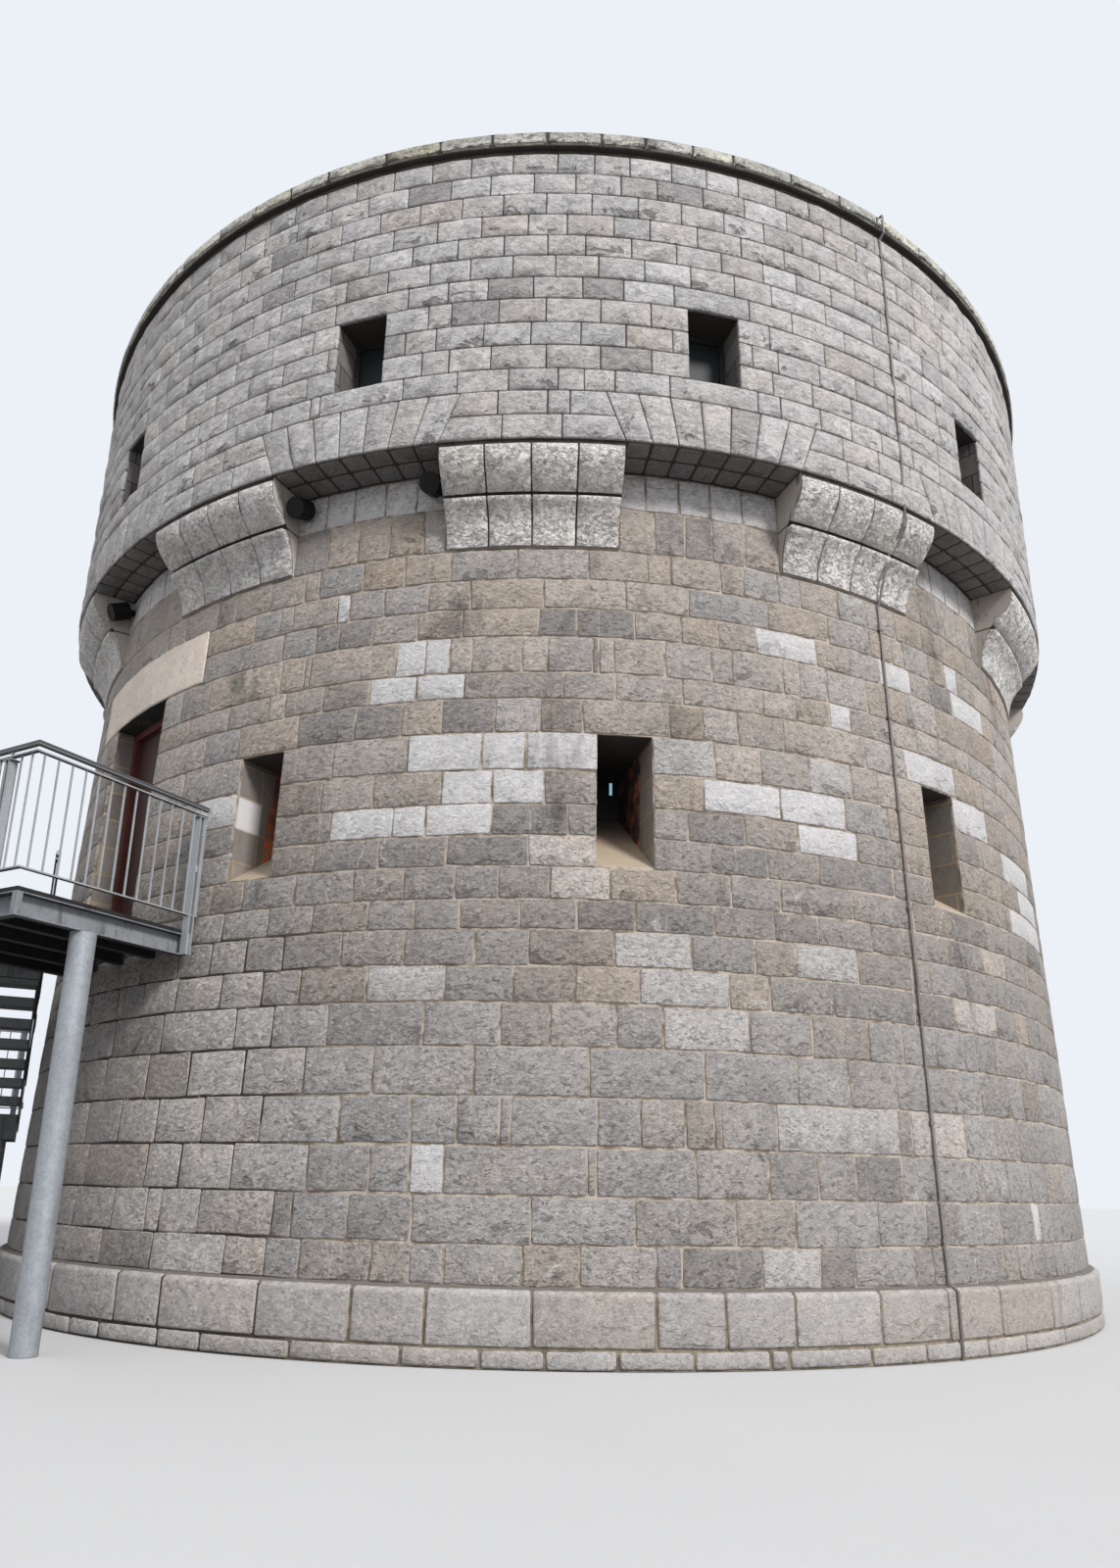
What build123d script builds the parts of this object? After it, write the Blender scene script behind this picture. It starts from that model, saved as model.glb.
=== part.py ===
"""A martello tower of coursed stone with a machicolated parapet, a first-floor door and a steel stair.

Millimetres, +Z up, origin on the tower's axis at ground level.
A bearing is an angle about the axis: 0 looks out along -Y, and it grows towards +X.
The middle of one corbel is at bearing 0, and the parapet repeats in twelve bays from there.
"""

import os
from math import cos, radians, sin, sqrt

from build123d import *

# Masonry rings. Every course is laid in straight-faced stones, eight to a bay.
bay_count = 12
stones_per_bay = 8
wall_clearance = 0.3

# Plinth and battered wall
plinth_radius = 5988
plinth_height = 476
plinth_bevel_height = 40
wall_foot_radius = 5909
wall_top_radius = 5690
wall_top = 7223
wall_inner_radius = 4000

# Loopholes of the first floor
loophole_spacing = 31.4
loophole_first_bearing = -23.5
loophole_count = 11
loophole_width = 462
loophole_sill = 3560
loophole_head = 4690
throat_width = 220
throat_sill = 4320
throat_depth = 1050
embrasure_width = 620
embrasure_sill = 3965
loophole_pane_thickness = 30

# First-floor door, its frame and the stone lintel over it
door_bearing = -43.8
door_width = 1130
door_sill = 3165
door_head = 5585
door_recess = 280
frame_jamb = 75
frame_depth = 110
frame_rebate = 18
leaf_thickness = 48
lintel_angle = 22.6
lintel_height = 578
lintel_depth = 450

# Corbels: a hollow-moulded stone below and a rolled stone above
corbel_angle = 15
corbel_bottom = 6430
corbel_joint = 6940
corbel_foot_projection = 20
corbel_lip_projection = 215
corbel_lip_height = 42
corbel_roll_foot = 232
corbel_nose_height = 80
corbel_setback = 12

# Parapet drum and coping
drum_foot_radius = 6116
drum_top_radius = 6081
drum_inner_radius = 5250
drum_top = 10403
arch_height = 490
arch_skew = 2.0
coping_overhang = 55
coping_inner_overhang = 40
coping_height = 194
coping_wash = 34

# Parapet windows
window_width = 484
window_inner_width = 400
window_sill = 7910
window_head = 8700
window_depth = 330
window_frame_width = 42
window_frame_depth = 60
window_pane_thickness = 12

# Floors and roof
ground_floor_thickness = 150
first_floor_thickness = 220
upper_floor_thickness = 240
roof_level = 9750
roof_thickness = 200
roof_fall = 90

# Steel platform at the door
deck_level = door_sill
deck_thickness = 32
deck_gap = 45
deck_corner_bearing = -28.4
deck_corner_radius = 7448
deck_side_bearing = -26.5
channel_depth = 210
channel_flange = 75
channel_web = 9
corner_bar = 50
joist_width = 80
joist_depth = 150
joist_spacing = 480
joist_count = 5
column_radius = 96.85
column_wall = 8
column_inset = 68
deck_column_along = -270
column_cap = 20

# Stair beside the tower: one flight along the wall, a half landing and a flight back
stair_bearing = -152.1
stair_offset = 5990
stair_width = 1100
stair_head = -1265
upper_risers = 8
upper_going = 280
upper_rise = 170
lower_risers = 11
lower_going = 260
flight_gap = 100
landing_length = 1200
landing_column_radius = 57
landing_column_wall = 6
landing_column_inset = 150
stringer_depth = 300
stringer_rise = 40
stringer_thickness = 12
tread_nosing = 20
tread_edge = 90
tread_plate = 8

# Guard rails
rail_height = 1100
rail_radius = 24
flat_lift = 1014
bottom_lift = 125
flat_width = 40
flat_thickness = 12
baluster_size = 12
baluster_spacing = 118
post_depth = 70
post_thickness = 12
post_gap = 30
cap_length = 100
cap_width = 80
cap_thickness = 8
cap_drop = 34
stair_post_width = 60
corner_post_distance = 300
wall_post_distance = 34
end_bar_width = 50

# Lightning conductor and lamps
conductor_bearing = 33.4
conductor_width = 25
conductor_thickness = 6
conductor_stand_off = 22
clip_width = 46
clip_height = 30
clip_spacing = 850
lamp_bearings = (-8.6, -21.2, -51.2)
lamp_radius = 95
lamp_length = 190
lamp_level = 7010
lamp_reach = 165
lamp_tilt = 25

# Worked out from the driving dimensions
stone_count = bay_count * stones_per_bay
stone_angle = 360 / stone_count
bay_angle = 360 / bay_count
plinth_top = plinth_height + plinth_bevel_height
coping_top = drum_top + coping_height
corbel_projection = drum_foot_radius - wall_top_radius - corbel_setback
throat_radius = wall_foot_radius - throat_depth - 130
sides = {
    "front": (door_bearing, 55),
    "right": (55, 149.2),
    "back": (149.2, 243.4),
    "left": (243.4, door_bearing + 360),
}
quarters = {
    "front": (-45, 45),
    "right": (45, 135),
    "back": (135, 225),
    "left": (225, 315),
}
far = 12000

os.makedirs("parts", exist_ok=True)


def outward(bearing):
    """The level unit vector that points away from the axis at a bearing."""
    return Vector(sin(radians(bearing)), -cos(radians(bearing)), 0)


def onward(bearing):
    """The level unit vector along which the bearing grows."""
    return Vector(cos(radians(bearing)), sin(radians(bearing)), 0)


def place(radius, bearing, level=0):
    """The point at a distance from the axis, on a bearing and a level."""
    return outward(bearing) * radius + Vector(0, 0, level)


def face_plane(radius, bearing):
    """An upright plane that faces outwards: its x is onward, its y is the level."""
    return Plane(origin=place(radius, bearing), x_dir=onward(bearing), z_dir=outward(bearing))


def wall_radius(level):
    """The radius of the battered wall at a level."""
    share = (level - plinth_top) / (wall_top - plinth_top)
    return wall_foot_radius + (wall_top_radius - wall_foot_radius) * share


def add_ring(low_radius, high_radius, inner_radius, bottom, top):
    """Adds a ring of straight-faced stones between two levels."""
    with BuildSketch(Plane.XY.offset(bottom)) as low:
        RegularPolygon(low_radius, stone_count)
    with BuildSketch(Plane.XY.offset(top)) as high:
        RegularPolygon(high_radius, stone_count)
    loft([low.sketch, high.sketch])
    with BuildSketch(Plane.XY.offset(bottom)) as hollow:
        RegularPolygon(inner_radius, stone_count)
    extrude(hollow.sketch, amount=top - bottom, mode=Mode.SUBTRACT)


def keep_sector(start, end, bottom, top):
    """Keeps what lies between two bearings and two levels."""
    middle = (start + end) / 2
    with BuildSketch(Plane.XY.offset(bottom)) as sector:
        with BuildLine():
            Polyline((0, 0), place(far, start), place(far, middle), place(far, end), close=True)
        make_face()
    extrude(sector.sketch, amount=top - bottom, mode=Mode.INTERSECT)


def cut_tapered(bearing, outer_radius, outer_box, inner_radius, inner_box):
    """Cuts a splayed opening: a box is its width, its sill and its head at that radius."""
    sections = []
    for radius, (width, sill, head) in ((outer_radius, outer_box), (inner_radius, inner_box)):
        with BuildSketch(face_plane(radius, bearing)) as section:
            with Locations((0, (sill + head) / 2)):
                Rectangle(width, head - sill)
        sections.append(section.sketch)
    loft(sections, mode=Mode.SUBTRACT)


def save(part, name):
    """Labels a finished piece and writes its file."""
    part.label = name
    export_step(part, f"parts/{name}.step")


# Plinth: one course with a bevelled top, in four lengths
for side, (start, end) in quarters.items():
    with BuildPart() as plinth:
        add_ring(plinth_radius, plinth_radius, wall_inner_radius, 0, plinth_height)
        add_ring(plinth_radius, wall_foot_radius, wall_inner_radius, plinth_height, plinth_top)
        keep_sector(start, end, 0, plinth_top)
    save(plinth.part, f"plinth_{side}")

# The lintel over the door, and the pocket that it fills
with BuildPart() as lintel:
    add_ring(
        wall_radius(door_head),
        wall_radius(door_head + lintel_height),
        wall_radius(door_head) - lintel_depth,
        door_head,
        door_head + lintel_height,
    )
    keep_sector(
        door_bearing - lintel_angle / 2,
        door_bearing + lintel_angle / 2,
        door_head,
        door_head + lintel_height,
    )
save(lintel.part, "door_lintel")

# The battered wall, cut through by the loopholes and the door
throat_out = wall_radius(loophole_sill) - throat_radius
splay_out = (loophole_width - throat_width) / throat_out
sill_fall = (throat_sill - loophole_sill) / throat_out
cut_margin = 120
loophole_bearings = [loophole_first_bearing + loophole_spacing * i for i in range(loophole_count)]
for side, (start, end) in sides.items():
    with BuildPart() as wall:
        add_ring(wall_foot_radius, wall_top_radius, wall_inner_radius, plinth_top, wall_top)
        keep_sector(start, end, plinth_top, wall_top)
        for bearing in loophole_bearings:
            if start < bearing < end:
                cut_tapered(
                    bearing,
                    throat_radius + throat_out + cut_margin,
                    (
                        loophole_width + splay_out * cut_margin,
                        loophole_sill - sill_fall * cut_margin,
                        loophole_head,
                    ),
                    throat_radius,
                    (throat_width, throat_sill, loophole_head),
                )
                cut_tapered(
                    bearing,
                    throat_radius,
                    (throat_width, throat_sill, loophole_head),
                    wall_inner_radius - cut_margin,
                    (embrasure_width, embrasure_sill, loophole_head),
                )
        if side in ("front", "left"):
            with BuildSketch(face_plane(wall_inner_radius / 2, door_bearing)):
                with Locations((0, (door_sill + door_head) / 2)):
                    Rectangle(door_width, door_head - door_sill)
            extrude(amount=wall_foot_radius, mode=Mode.SUBTRACT)
            add(lintel.part, mode=Mode.SUBTRACT)
    save(wall.part, f"wall_{side}")

# Dark panes that close the loopholes at their throats
with BuildPart() as loophole_panes:
    for bearing in loophole_bearings:
        with BuildSketch(face_plane(throat_radius - loophole_pane_thickness / 2, bearing)):
            with Locations((0, (throat_sill + loophole_head) / 2)):
                Rectangle(
                    throat_width - 2 * wall_clearance,
                    loophole_head - throat_sill - 2 * wall_clearance,
                )
        extrude(amount=loophole_pane_thickness)
save(loophole_panes.part, "loophole_panes")

# Door frame with a rebate, and the boarded leaf seated in it
door_face = wall_radius(door_sill) - door_recess
door_height = door_head - door_sill
door_middle = (door_sill + door_head) / 2
with BuildPart() as door_frame:
    with BuildSketch(face_plane(door_face - frame_depth, door_bearing)):
        with Locations((0, door_middle)):
            Rectangle(door_width - 2 * wall_clearance, door_height - 2 * wall_clearance)
        with Locations((0, door_middle - frame_jamb / 2)):
            Rectangle(door_width - 2 * frame_jamb, door_height - frame_jamb, mode=Mode.SUBTRACT)
    extrude(amount=frame_depth)
    with BuildSketch(face_plane(door_face - frame_depth, door_bearing)):
        with Locations((0, door_middle - (frame_jamb - frame_rebate) / 2)):
            Rectangle(
                door_width - 2 * (frame_jamb - frame_rebate),
                door_height - frame_jamb + frame_rebate,
            )
    extrude(amount=leaf_thickness, mode=Mode.SUBTRACT)
save(door_frame.part, "door_frame")

leaf_gap = 3
with BuildPart() as door_leaf:
    with BuildSketch(face_plane(door_face - frame_depth, door_bearing)):
        with Locations((0, door_middle - (frame_jamb - frame_rebate) / 2)):
            Rectangle(
                door_width - 2 * (frame_jamb - frame_rebate) - 2 * leaf_gap,
                door_height - frame_jamb + frame_rebate - 2 * leaf_gap,
            )
    extrude(amount=leaf_thickness)
save(door_leaf.part, "door_leaf")

# Corbels: each profile is carried along the chords of its stones and ends on radial cheeks
half_stone = radians(stone_angle / 2)
path_radius = wall_top_radius


def back_of_corbel(level):
    """How far the wall's face lies from the path of the corbel's profile at a level."""
    return (wall_radius(level) - path_radius) * cos(half_stone) + wall_clearance


def carry_profile(outline):
    """Carries an upright outline along the chords of one corbel at bearing 0."""
    reach = stones_per_bay // 2
    with BuildLine() as path:
        Polyline(*[place(path_radius, stone_angle * i) for i in range(reach - 1, -reach, -1)])
    start_plane = Plane(
        origin=path.line @ 0,
        x_dir=outward(stone_angle * (reach - 1.5)),
        z_dir=-onward(stone_angle * (reach - 1.5)),
    )
    with BuildSketch(start_plane) as profile:
        with BuildLine():
            outline()
        make_face()
    sweep(profile.sketch, path=path.line, transition=Transition.RIGHT)
    keep_sector(-corbel_angle / 2, corbel_angle / 2, corbel_bottom, wall_top)


def hollow_outline():
    """The lower stone: a foot, a hollow that sweeps outwards and an upright lip."""
    foot = (back_of_corbel(corbel_bottom) + corbel_foot_projection, corbel_bottom)
    lip = (corbel_lip_projection, corbel_joint - corbel_lip_height)
    Line((back_of_corbel(corbel_bottom), corbel_bottom), foot)
    hollow = TangentArc(foot, lip, tangent=(0, 1))
    top = (corbel_lip_projection, corbel_joint)
    Line(hollow @ 1, top)
    Line(top, (back_of_corbel(corbel_joint), corbel_joint))
    Line((back_of_corbel(corbel_joint), corbel_joint), (back_of_corbel(corbel_bottom), corbel_bottom))


def roll_outline():
    """The upper stone: a quarter roll that swells out to the face of the drum."""
    foot = (corbel_roll_foot, corbel_joint)
    nose = (corbel_projection, wall_top - corbel_nose_height)
    TangentArc(nose, foot, tangent=(0, -1))
    Line(nose, (corbel_projection, wall_top))
    Line((corbel_projection, wall_top), (back_of_corbel(wall_top), wall_top))
    Line((back_of_corbel(wall_top), wall_top), (back_of_corbel(corbel_joint), corbel_joint))
    Line((back_of_corbel(corbel_joint), corbel_joint), foot)


with BuildPart() as hollow_stone:
    carry_profile(hollow_outline)
with BuildPart() as lower_corbels:
    with PolarLocations(0, bay_count):
        add(hollow_stone.part)
save(lower_corbels.part, "lower_corbels")

with BuildPart() as roll_stone:
    carry_profile(roll_outline)
with BuildPart() as upper_corbels:
    with PolarLocations(0, bay_count):
        add(roll_stone.part)
save(upper_corbels.part, "upper_corbels")

# Flat arches that span the openings between the corbels, with skewed ends
arch_top = wall_top + arch_height
gap_angle = bay_angle - corbel_angle
with BuildPart() as flat_arch:
    add_ring(drum_foot_radius, drum_foot_radius, drum_inner_radius, wall_top, arch_top)
    foot_reach = drum_foot_radius * sin(radians(gap_angle / 2))
    head_reach = drum_foot_radius * sin(radians(gap_angle / 2 + arch_skew))
    with BuildSketch(face_plane(drum_inner_radius / 2, bay_angle / 2)):
        with BuildLine():
            Polyline(
                (-foot_reach, wall_top),
                (foot_reach, wall_top),
                (head_reach, arch_top),
                (-head_reach, arch_top),
                close=True,
            )
        make_face()
    extrude(amount=drum_foot_radius, mode=Mode.INTERSECT)
with BuildPart() as machicolation_arches:
    with PolarLocations(0, bay_count):
        add(flat_arch.part)
save(machicolation_arches.part, "machicolation_arches")

# Parapet drum in four lengths, with a splayed window over every arch
drum_share = (drum_top_radius - drum_foot_radius) / (drum_top - wall_top)
for side, (start, end) in quarters.items():
    with BuildPart() as drum:
        add_ring(drum_foot_radius, drum_foot_radius, drum_inner_radius, wall_top, arch_top)
        add_ring(drum_foot_radius, drum_top_radius, drum_inner_radius, arch_top, drum_top)
        keep_sector(start, end, wall_top, drum_top)
        add(machicolation_arches.part, mode=Mode.SUBTRACT)
        for i in range(bay_count):
            bearing = bay_angle * (i + 0.5)
            if start <= bearing <= end or start <= bearing - 360 <= end:
                taper = (window_width - window_inner_width) / (drum_foot_radius - drum_inner_radius)
                cut_tapered(
                    bearing,
                    drum_foot_radius + cut_margin,
                    (window_width + taper * cut_margin, window_sill, window_head),
                    drum_inner_radius - cut_margin,
                    (window_inner_width - taper * cut_margin, window_sill, window_head),
                )
    save(drum.part, f"parapet_{side}")

# Window frames and panes
frame_back = drum_foot_radius - window_depth - window_frame_depth
frame_share = (frame_back - drum_inner_radius) / (drum_foot_radius - drum_inner_radius)
frame_width = window_inner_width + (window_width - window_inner_width) * frame_share
window_middle = (window_sill + window_head) / 2
window_height = window_head - window_sill
with BuildPart() as window_frame:
    with BuildSketch(face_plane(frame_back, bay_angle / 2)):
        with Locations((0, window_middle)):
            Rectangle(frame_width - 2 * wall_clearance, window_height - 2 * wall_clearance)
            Rectangle(
                frame_width - 2 * window_frame_width,
                window_height - 2 * window_frame_width,
                mode=Mode.SUBTRACT,
            )
    extrude(amount=window_frame_depth)
with BuildPart() as window_frames:
    with PolarLocations(0, bay_count):
        add(window_frame.part)
save(window_frames.part, "window_frames")

with BuildPart() as window_pane:
    with BuildSketch(face_plane(frame_back + window_frame_depth / 3, bay_angle / 2)):
        with Locations((0, window_middle)):
            Rectangle(
                frame_width - 2 * window_frame_width - 2 * wall_clearance,
                window_height - 2 * window_frame_width - 2 * wall_clearance,
            )
    extrude(amount=window_pane_thickness)
with BuildPart() as window_panes:
    with PolarLocations(0, bay_count):
        add(window_pane.part)
save(window_panes.part, "window_panes")

# Coping in four lengths, with a wash that falls outwards
for side, (start, end) in quarters.items():
    with BuildPart() as coping:
        add_ring(
            drum_top_radius + coping_overhang,
            drum_top_radius + coping_overhang,
            drum_inner_radius - coping_inner_overhang,
            drum_top,
            coping_top - coping_wash,
        )
        add_ring(
            drum_top_radius + coping_overhang,
            drum_inner_radius + coping_overhang,
            drum_inner_radius - coping_inner_overhang,
            coping_top - coping_wash,
            coping_top,
        )
        keep_sector(start, end, drum_top, coping_top)
    save(coping.part, f"coping_{side}")

# Floors and the roof, which rises a little to its middle
with BuildPart() as ground_floor:
    with BuildSketch(Plane.XY):
        RegularPolygon(wall_inner_radius - wall_clearance, stone_count)
    extrude(amount=ground_floor_thickness)
save(ground_floor.part, "ground_floor")

with BuildPart() as first_floor:
    with BuildSketch(Plane.XY.offset(door_sill - first_floor_thickness)):
        RegularPolygon(wall_inner_radius - wall_clearance, stone_count)
    extrude(amount=first_floor_thickness)
save(first_floor.part, "first_floor")

with BuildPart() as upper_floor:
    with BuildSketch(Plane.XY.offset(wall_top)):
        RegularPolygon(drum_inner_radius - wall_clearance, stone_count)
    extrude(amount=upper_floor_thickness)
save(upper_floor.part, "upper_floor")

with BuildPart() as roof_deck:
    with BuildSketch(Plane.XY.offset(roof_level)):
        RegularPolygon(drum_inner_radius - wall_clearance, stone_count)
    extrude(amount=roof_thickness)
    with BuildSketch(Plane.XY.offset(roof_level + roof_thickness)):
        RegularPolygon(drum_inner_radius - wall_clearance, stone_count)
    with BuildSketch(Plane.XY.offset(roof_level + roof_thickness + roof_fall)):
        RegularPolygon(drum_inner_radius / 10, stone_count)
    loft()
save(roof_deck.part, "roof_deck")

# Steel platform: its corners follow from the bearings of its sides and of the stair
across_bearing = stair_bearing + 90
along_stair = outward(stair_bearing)
flight_inner = stair_offset
flight_outer = stair_offset + stair_width
return_inner = flight_outer + flight_gap
return_outer = return_inner + stair_width
landing_start = stair_head + (upper_risers - 1) * upper_going
landing_end = landing_start + landing_length
upward = Vector(0, 0, 1)


def by_stair(offset, along, level=0):
    """A point by its distance from the axis across the stair and its place along the stair."""
    return outward(across_bearing) * offset + along_stair * along + upward * level


def crossing(first, first_way, second, second_way):
    """The level point where two lines meet, each a point and a direction."""
    span = second - first
    turn = first_way.X * second_way.Y - first_way.Y * second_way.X
    return first + first_way * ((span.X * second_way.Y - span.Y * second_way.X) / turn)


def on_circle(start, way, radius):
    """The first level point at a radius on a line that runs inwards from a point."""
    half = start.X * way.X + start.Y * way.Y
    rest = start.X**2 + start.Y**2 - radius**2
    return start + way * (-half - sqrt(half**2 - rest))


side_way = outward(deck_side_bearing)
front_way = outward(deck_side_bearing - 90)
channel_top = deck_level - deck_thickness - wall_clearance
channel_bottom = deck_level - channel_depth
deck_wall_radius = wall_radius(channel_bottom) + deck_gap
deck_corner = place(deck_corner_radius, deck_corner_bearing)
deck_turn = crossing(deck_corner, front_way, by_stair(flight_outer, 0), along_stair)
deck_wall_end = on_circle(deck_corner, -side_way, deck_wall_radius)
deck_edge = (
    deck_wall_end,
    deck_corner,
    deck_turn,
    by_stair(flight_outer, stair_head),
    by_stair(flight_inner, stair_head),
)
deck_outline = deck_edge + (by_stair(wall_top_radius * 0.9, stair_head), deck_wall_end * 0.9)


def deck_face(cutting_radius, inset, level):
    """The deck's outline, drawn in from its edges and cut round to the tower."""
    with BuildSketch(Plane.XY.offset(level)) as face:
        with BuildLine():
            Polyline(*deck_outline, close=True)
        make_face()
        if inset:
            offset(amount=-inset, kind=Kind.INTERSECTION, mode=Mode.REPLACE)
        RegularPolygon(cutting_radius, stone_count, mode=Mode.SUBTRACT)
    return face.sketch


# Deck plate
with BuildPart() as deck_plate:
    extrude(deck_face(deck_wall_radius, 0, deck_level - deck_thickness), amount=deck_thickness)
save(deck_plate.part, "deck_plate")

# Edge channels under the plate's free sides, hollow side out, with a bar in the front corner
with BuildPart() as edge_channels:
    with BuildLine() as channel_path:
        Polyline(*deck_edge)
    start_plane = Plane(
        origin=deck_wall_end, x_dir=-onward(deck_side_bearing), z_dir=-outward(deck_side_bearing)
    )
    with BuildSketch(start_plane) as channel_profile:
        with BuildLine():
            Polyline(
                (0, channel_top),
                (channel_flange, channel_top),
                (channel_flange, channel_bottom),
                (0, channel_bottom),
                (0, channel_bottom + channel_web),
                (channel_flange - channel_web, channel_bottom + channel_web),
                (channel_flange - channel_web, channel_top - channel_web),
                (0, channel_top - channel_web),
                close=True,
            )
        make_face()
    sweep(path=channel_path.line, transition=Transition.RIGHT)
    corner_middle = deck_corner - (side_way + onward(deck_side_bearing)) * corner_bar / 2
    with BuildSketch(Plane.XY.offset(channel_bottom)) as corner_section:
        with Locations((corner_middle.X, corner_middle.Y)):
            Rectangle(corner_bar, corner_bar, rotation=deck_side_bearing)
    extrude(corner_section.sketch, amount=channel_top - channel_bottom)
save(edge_channels.part, "edge_channels")

# Joists between the channels and the wall
joist_bottom = channel_top - joist_depth
with BuildPart() as deck_joists:
    with BuildSketch(Plane.XY.offset(joist_bottom)) as joist_lines:
        for i in range(joist_count):
            middle = deck_corner + front_way * joist_spacing * (i + 1) - side_way * wall_inner_radius / 2
            with Locations((middle.X, middle.Y)):
                Rectangle(joist_width, wall_inner_radius, rotation=deck_side_bearing)
    extrude(joist_lines.sketch, amount=joist_depth)
    joist_region = deck_face(
        wall_radius(joist_bottom) + wall_clearance, channel_flange + wall_clearance, joist_bottom
    )
    extrude(joist_region, amount=joist_depth, mode=Mode.INTERSECT)
save(deck_joists.part, "deck_joists")


def add_column(point, radius, wall, top):
    """Adds a tube with a closed top that stands straight on the ground."""
    with BuildSketch(Plane.XY.offset(0)) as tube:
        with Locations((point.X, point.Y)):
            Circle(radius)
    extrude(tube.sketch, amount=top)
    with BuildSketch(Plane.XY.offset(0)) as hollow:
        with Locations((point.X, point.Y)):
            Circle(radius - wall)
    extrude(hollow.sketch, amount=top - column_cap, mode=Mode.SUBTRACT)


# Columns under the edge channels
side_normal = onward(deck_side_bearing)
deck_column_points = (
    deck_corner - side_normal * column_inset - side_way * 640,
    by_stair(flight_outer - column_inset, stair_head + deck_column_along),
)
with BuildPart() as deck_columns:
    for point in deck_column_points:
        add_column(point, column_radius, column_wall, channel_bottom - wall_clearance)
save(deck_columns.part, "deck_columns")


# Guard rails: a tube and a flat bar over balusters, on posts of two flats
def level_way(start, end):
    """The level direction from one point to another, its length and the rise per length."""
    span = Vector(end.X - start.X, end.Y - start.Y, 0)
    return span.normalized(), span.length, (end.Z - start.Z) / span.length


def add_run(start, end, lift, before, after, width, height):
    """Adds a bar over a line, with upright ends: a rounded one where no height is given."""
    way, length, rise = level_way(start, end)
    first = start - way * before + upward * (lift - rise * before)
    with BuildSketch(Plane(origin=first, x_dir=upward.cross(way), z_dir=way)) as section:
        if height:
            Rectangle(width, height)
        else:
            RegularPolygon(width / 2, 12)
    sloping = (way + upward * rise).normalized()
    extrude(section.sketch, amount=(length + before + after) * sqrt(1 + rise**2), dir=sloping)


def add_upright(point, way, width, depth, bottom, top):
    """Adds an upright bar at a point: its width lies along the rail, its depth across."""
    plane = Plane(origin=Vector(point.X, point.Y, bottom), x_dir=way, z_dir=upward)
    with BuildSketch(plane) as section:
        Rectangle(width, depth)
    extrude(section.sketch, amount=top - bottom)


def add_bars(start, end, before, after, first, last):
    """Adds the rails over a line and the balusters between two distances along it."""
    way, length, rise = level_way(start, end)
    add_run(start, end, rail_height - rail_radius, before, after, 2 * rail_radius, 0)
    add_run(start, end, flat_lift, before, after, flat_width, flat_thickness)
    add_run(start, end, bottom_lift, before, after, flat_width, flat_thickness)
    count = round((last - first) / baluster_spacing)
    for i in range(count + 1):
        distance = first + (last - first) * i / count
        level = start.Z + rise * distance
        add_upright(
            start + way * distance,
            way,
            baluster_size,
            baluster_size,
            level + bottom_lift,
            level + flat_lift,
        )


def add_deck_post(start, end, distance):
    """Adds a post of two flats with a spacer, a cap and a stem that carries the tube."""
    way = level_way(start, end)[0]
    point = start + way * distance
    cap_bottom = deck_level + flat_lift - cap_drop
    reach = (post_gap + post_thickness) / 2
    for shift in (-reach, reach):
        add_upright(point + way * shift, way, post_thickness, post_depth, channel_bottom, cap_bottom)
    add_upright(point, way, post_gap, post_depth / 2, channel_bottom, channel_top)
    add_upright(point, way, post_gap, post_depth / 2, deck_level + 500, deck_level + 560)
    add_upright(point, way, cap_length, cap_width, cap_bottom, cap_bottom + cap_thickness)
    add_upright(point, way, 16, 16, cap_bottom, deck_level + rail_height - rail_radius)


def add_stair_post(start, end, distance, drop):
    """Adds a flat post from below the walking line up to the tube."""
    way, length, rise = level_way(start, end)
    level = start.Z + rise * distance
    top = level + rail_height - rail_radius
    add_upright(start + way * distance, way, stair_post_width, post_thickness, level - drop, top)


def mitre(point, bearing):
    """Cuts away what lies beyond an upright plane through a corner, on the side of a bearing."""
    split(bisect_by=Plane(origin=point, z_dir=outward(bearing)), keep=Keep.BOTTOM)


guard_out = post_depth / 2 + wall_clearance
guard_corner = deck_corner + (side_way + side_normal) * guard_out + upward * deck_level
across_way = outward(across_bearing)
guard_turn = crossing(
    guard_corner, front_way, by_stair(flight_outer + guard_out, 0, deck_level), along_stair
)
guard_turn = Vector(guard_turn.X, guard_turn.Y, deck_level)
guard_head = by_stair(flight_outer + guard_out, stair_head, deck_level)
guard_wall_end = on_circle(
    Vector(guard_corner.X, guard_corner.Y, 0), -side_way, wall_radius(deck_level) + 8
) + upward * deck_level
post_at_wall = deck_wall_end + side_way * wall_post_distance + side_normal * guard_out
wall_post_along = (post_at_wall - guard_wall_end).dot(side_way)
corner_bearing = deck_side_bearing - 45
turn_bearing = (deck_side_bearing - 90 + stair_bearing) / 2

with BuildPart() as guardrail_side:
    run = (guard_corner - guard_wall_end).length
    first_baluster = wall_post_along + baluster_spacing * 0.55
    add_bars(guard_wall_end, guard_corner, 0, 100, first_baluster, run - baluster_spacing / 2)
    add_deck_post(guard_wall_end, guard_corner, wall_post_along)
    end_bar = guard_wall_end + side_way * (end_bar_width / 2)
    end_levels = (deck_level + bottom_lift, deck_level + flat_lift)
    add_upright(end_bar, side_way, end_bar_width, tread_plate, *end_levels)
    mitre(guard_corner, corner_bearing)
save(guardrail_side.part, "guardrail_side")

with BuildPart() as guardrail_front:
    run = (guard_turn - guard_corner).length
    add_bars(guard_corner, guard_turn, 100, 100, baluster_spacing / 2, run - baluster_spacing / 2)
    add_deck_post(guard_corner, guard_turn, corner_post_distance)
    add_deck_post(guard_corner, guard_turn, run - corner_post_distance)
    mitre(guard_corner, corner_bearing + 180)
    mitre(guard_turn, turn_bearing)
save(guardrail_front.part, "guardrail_front")

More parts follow.
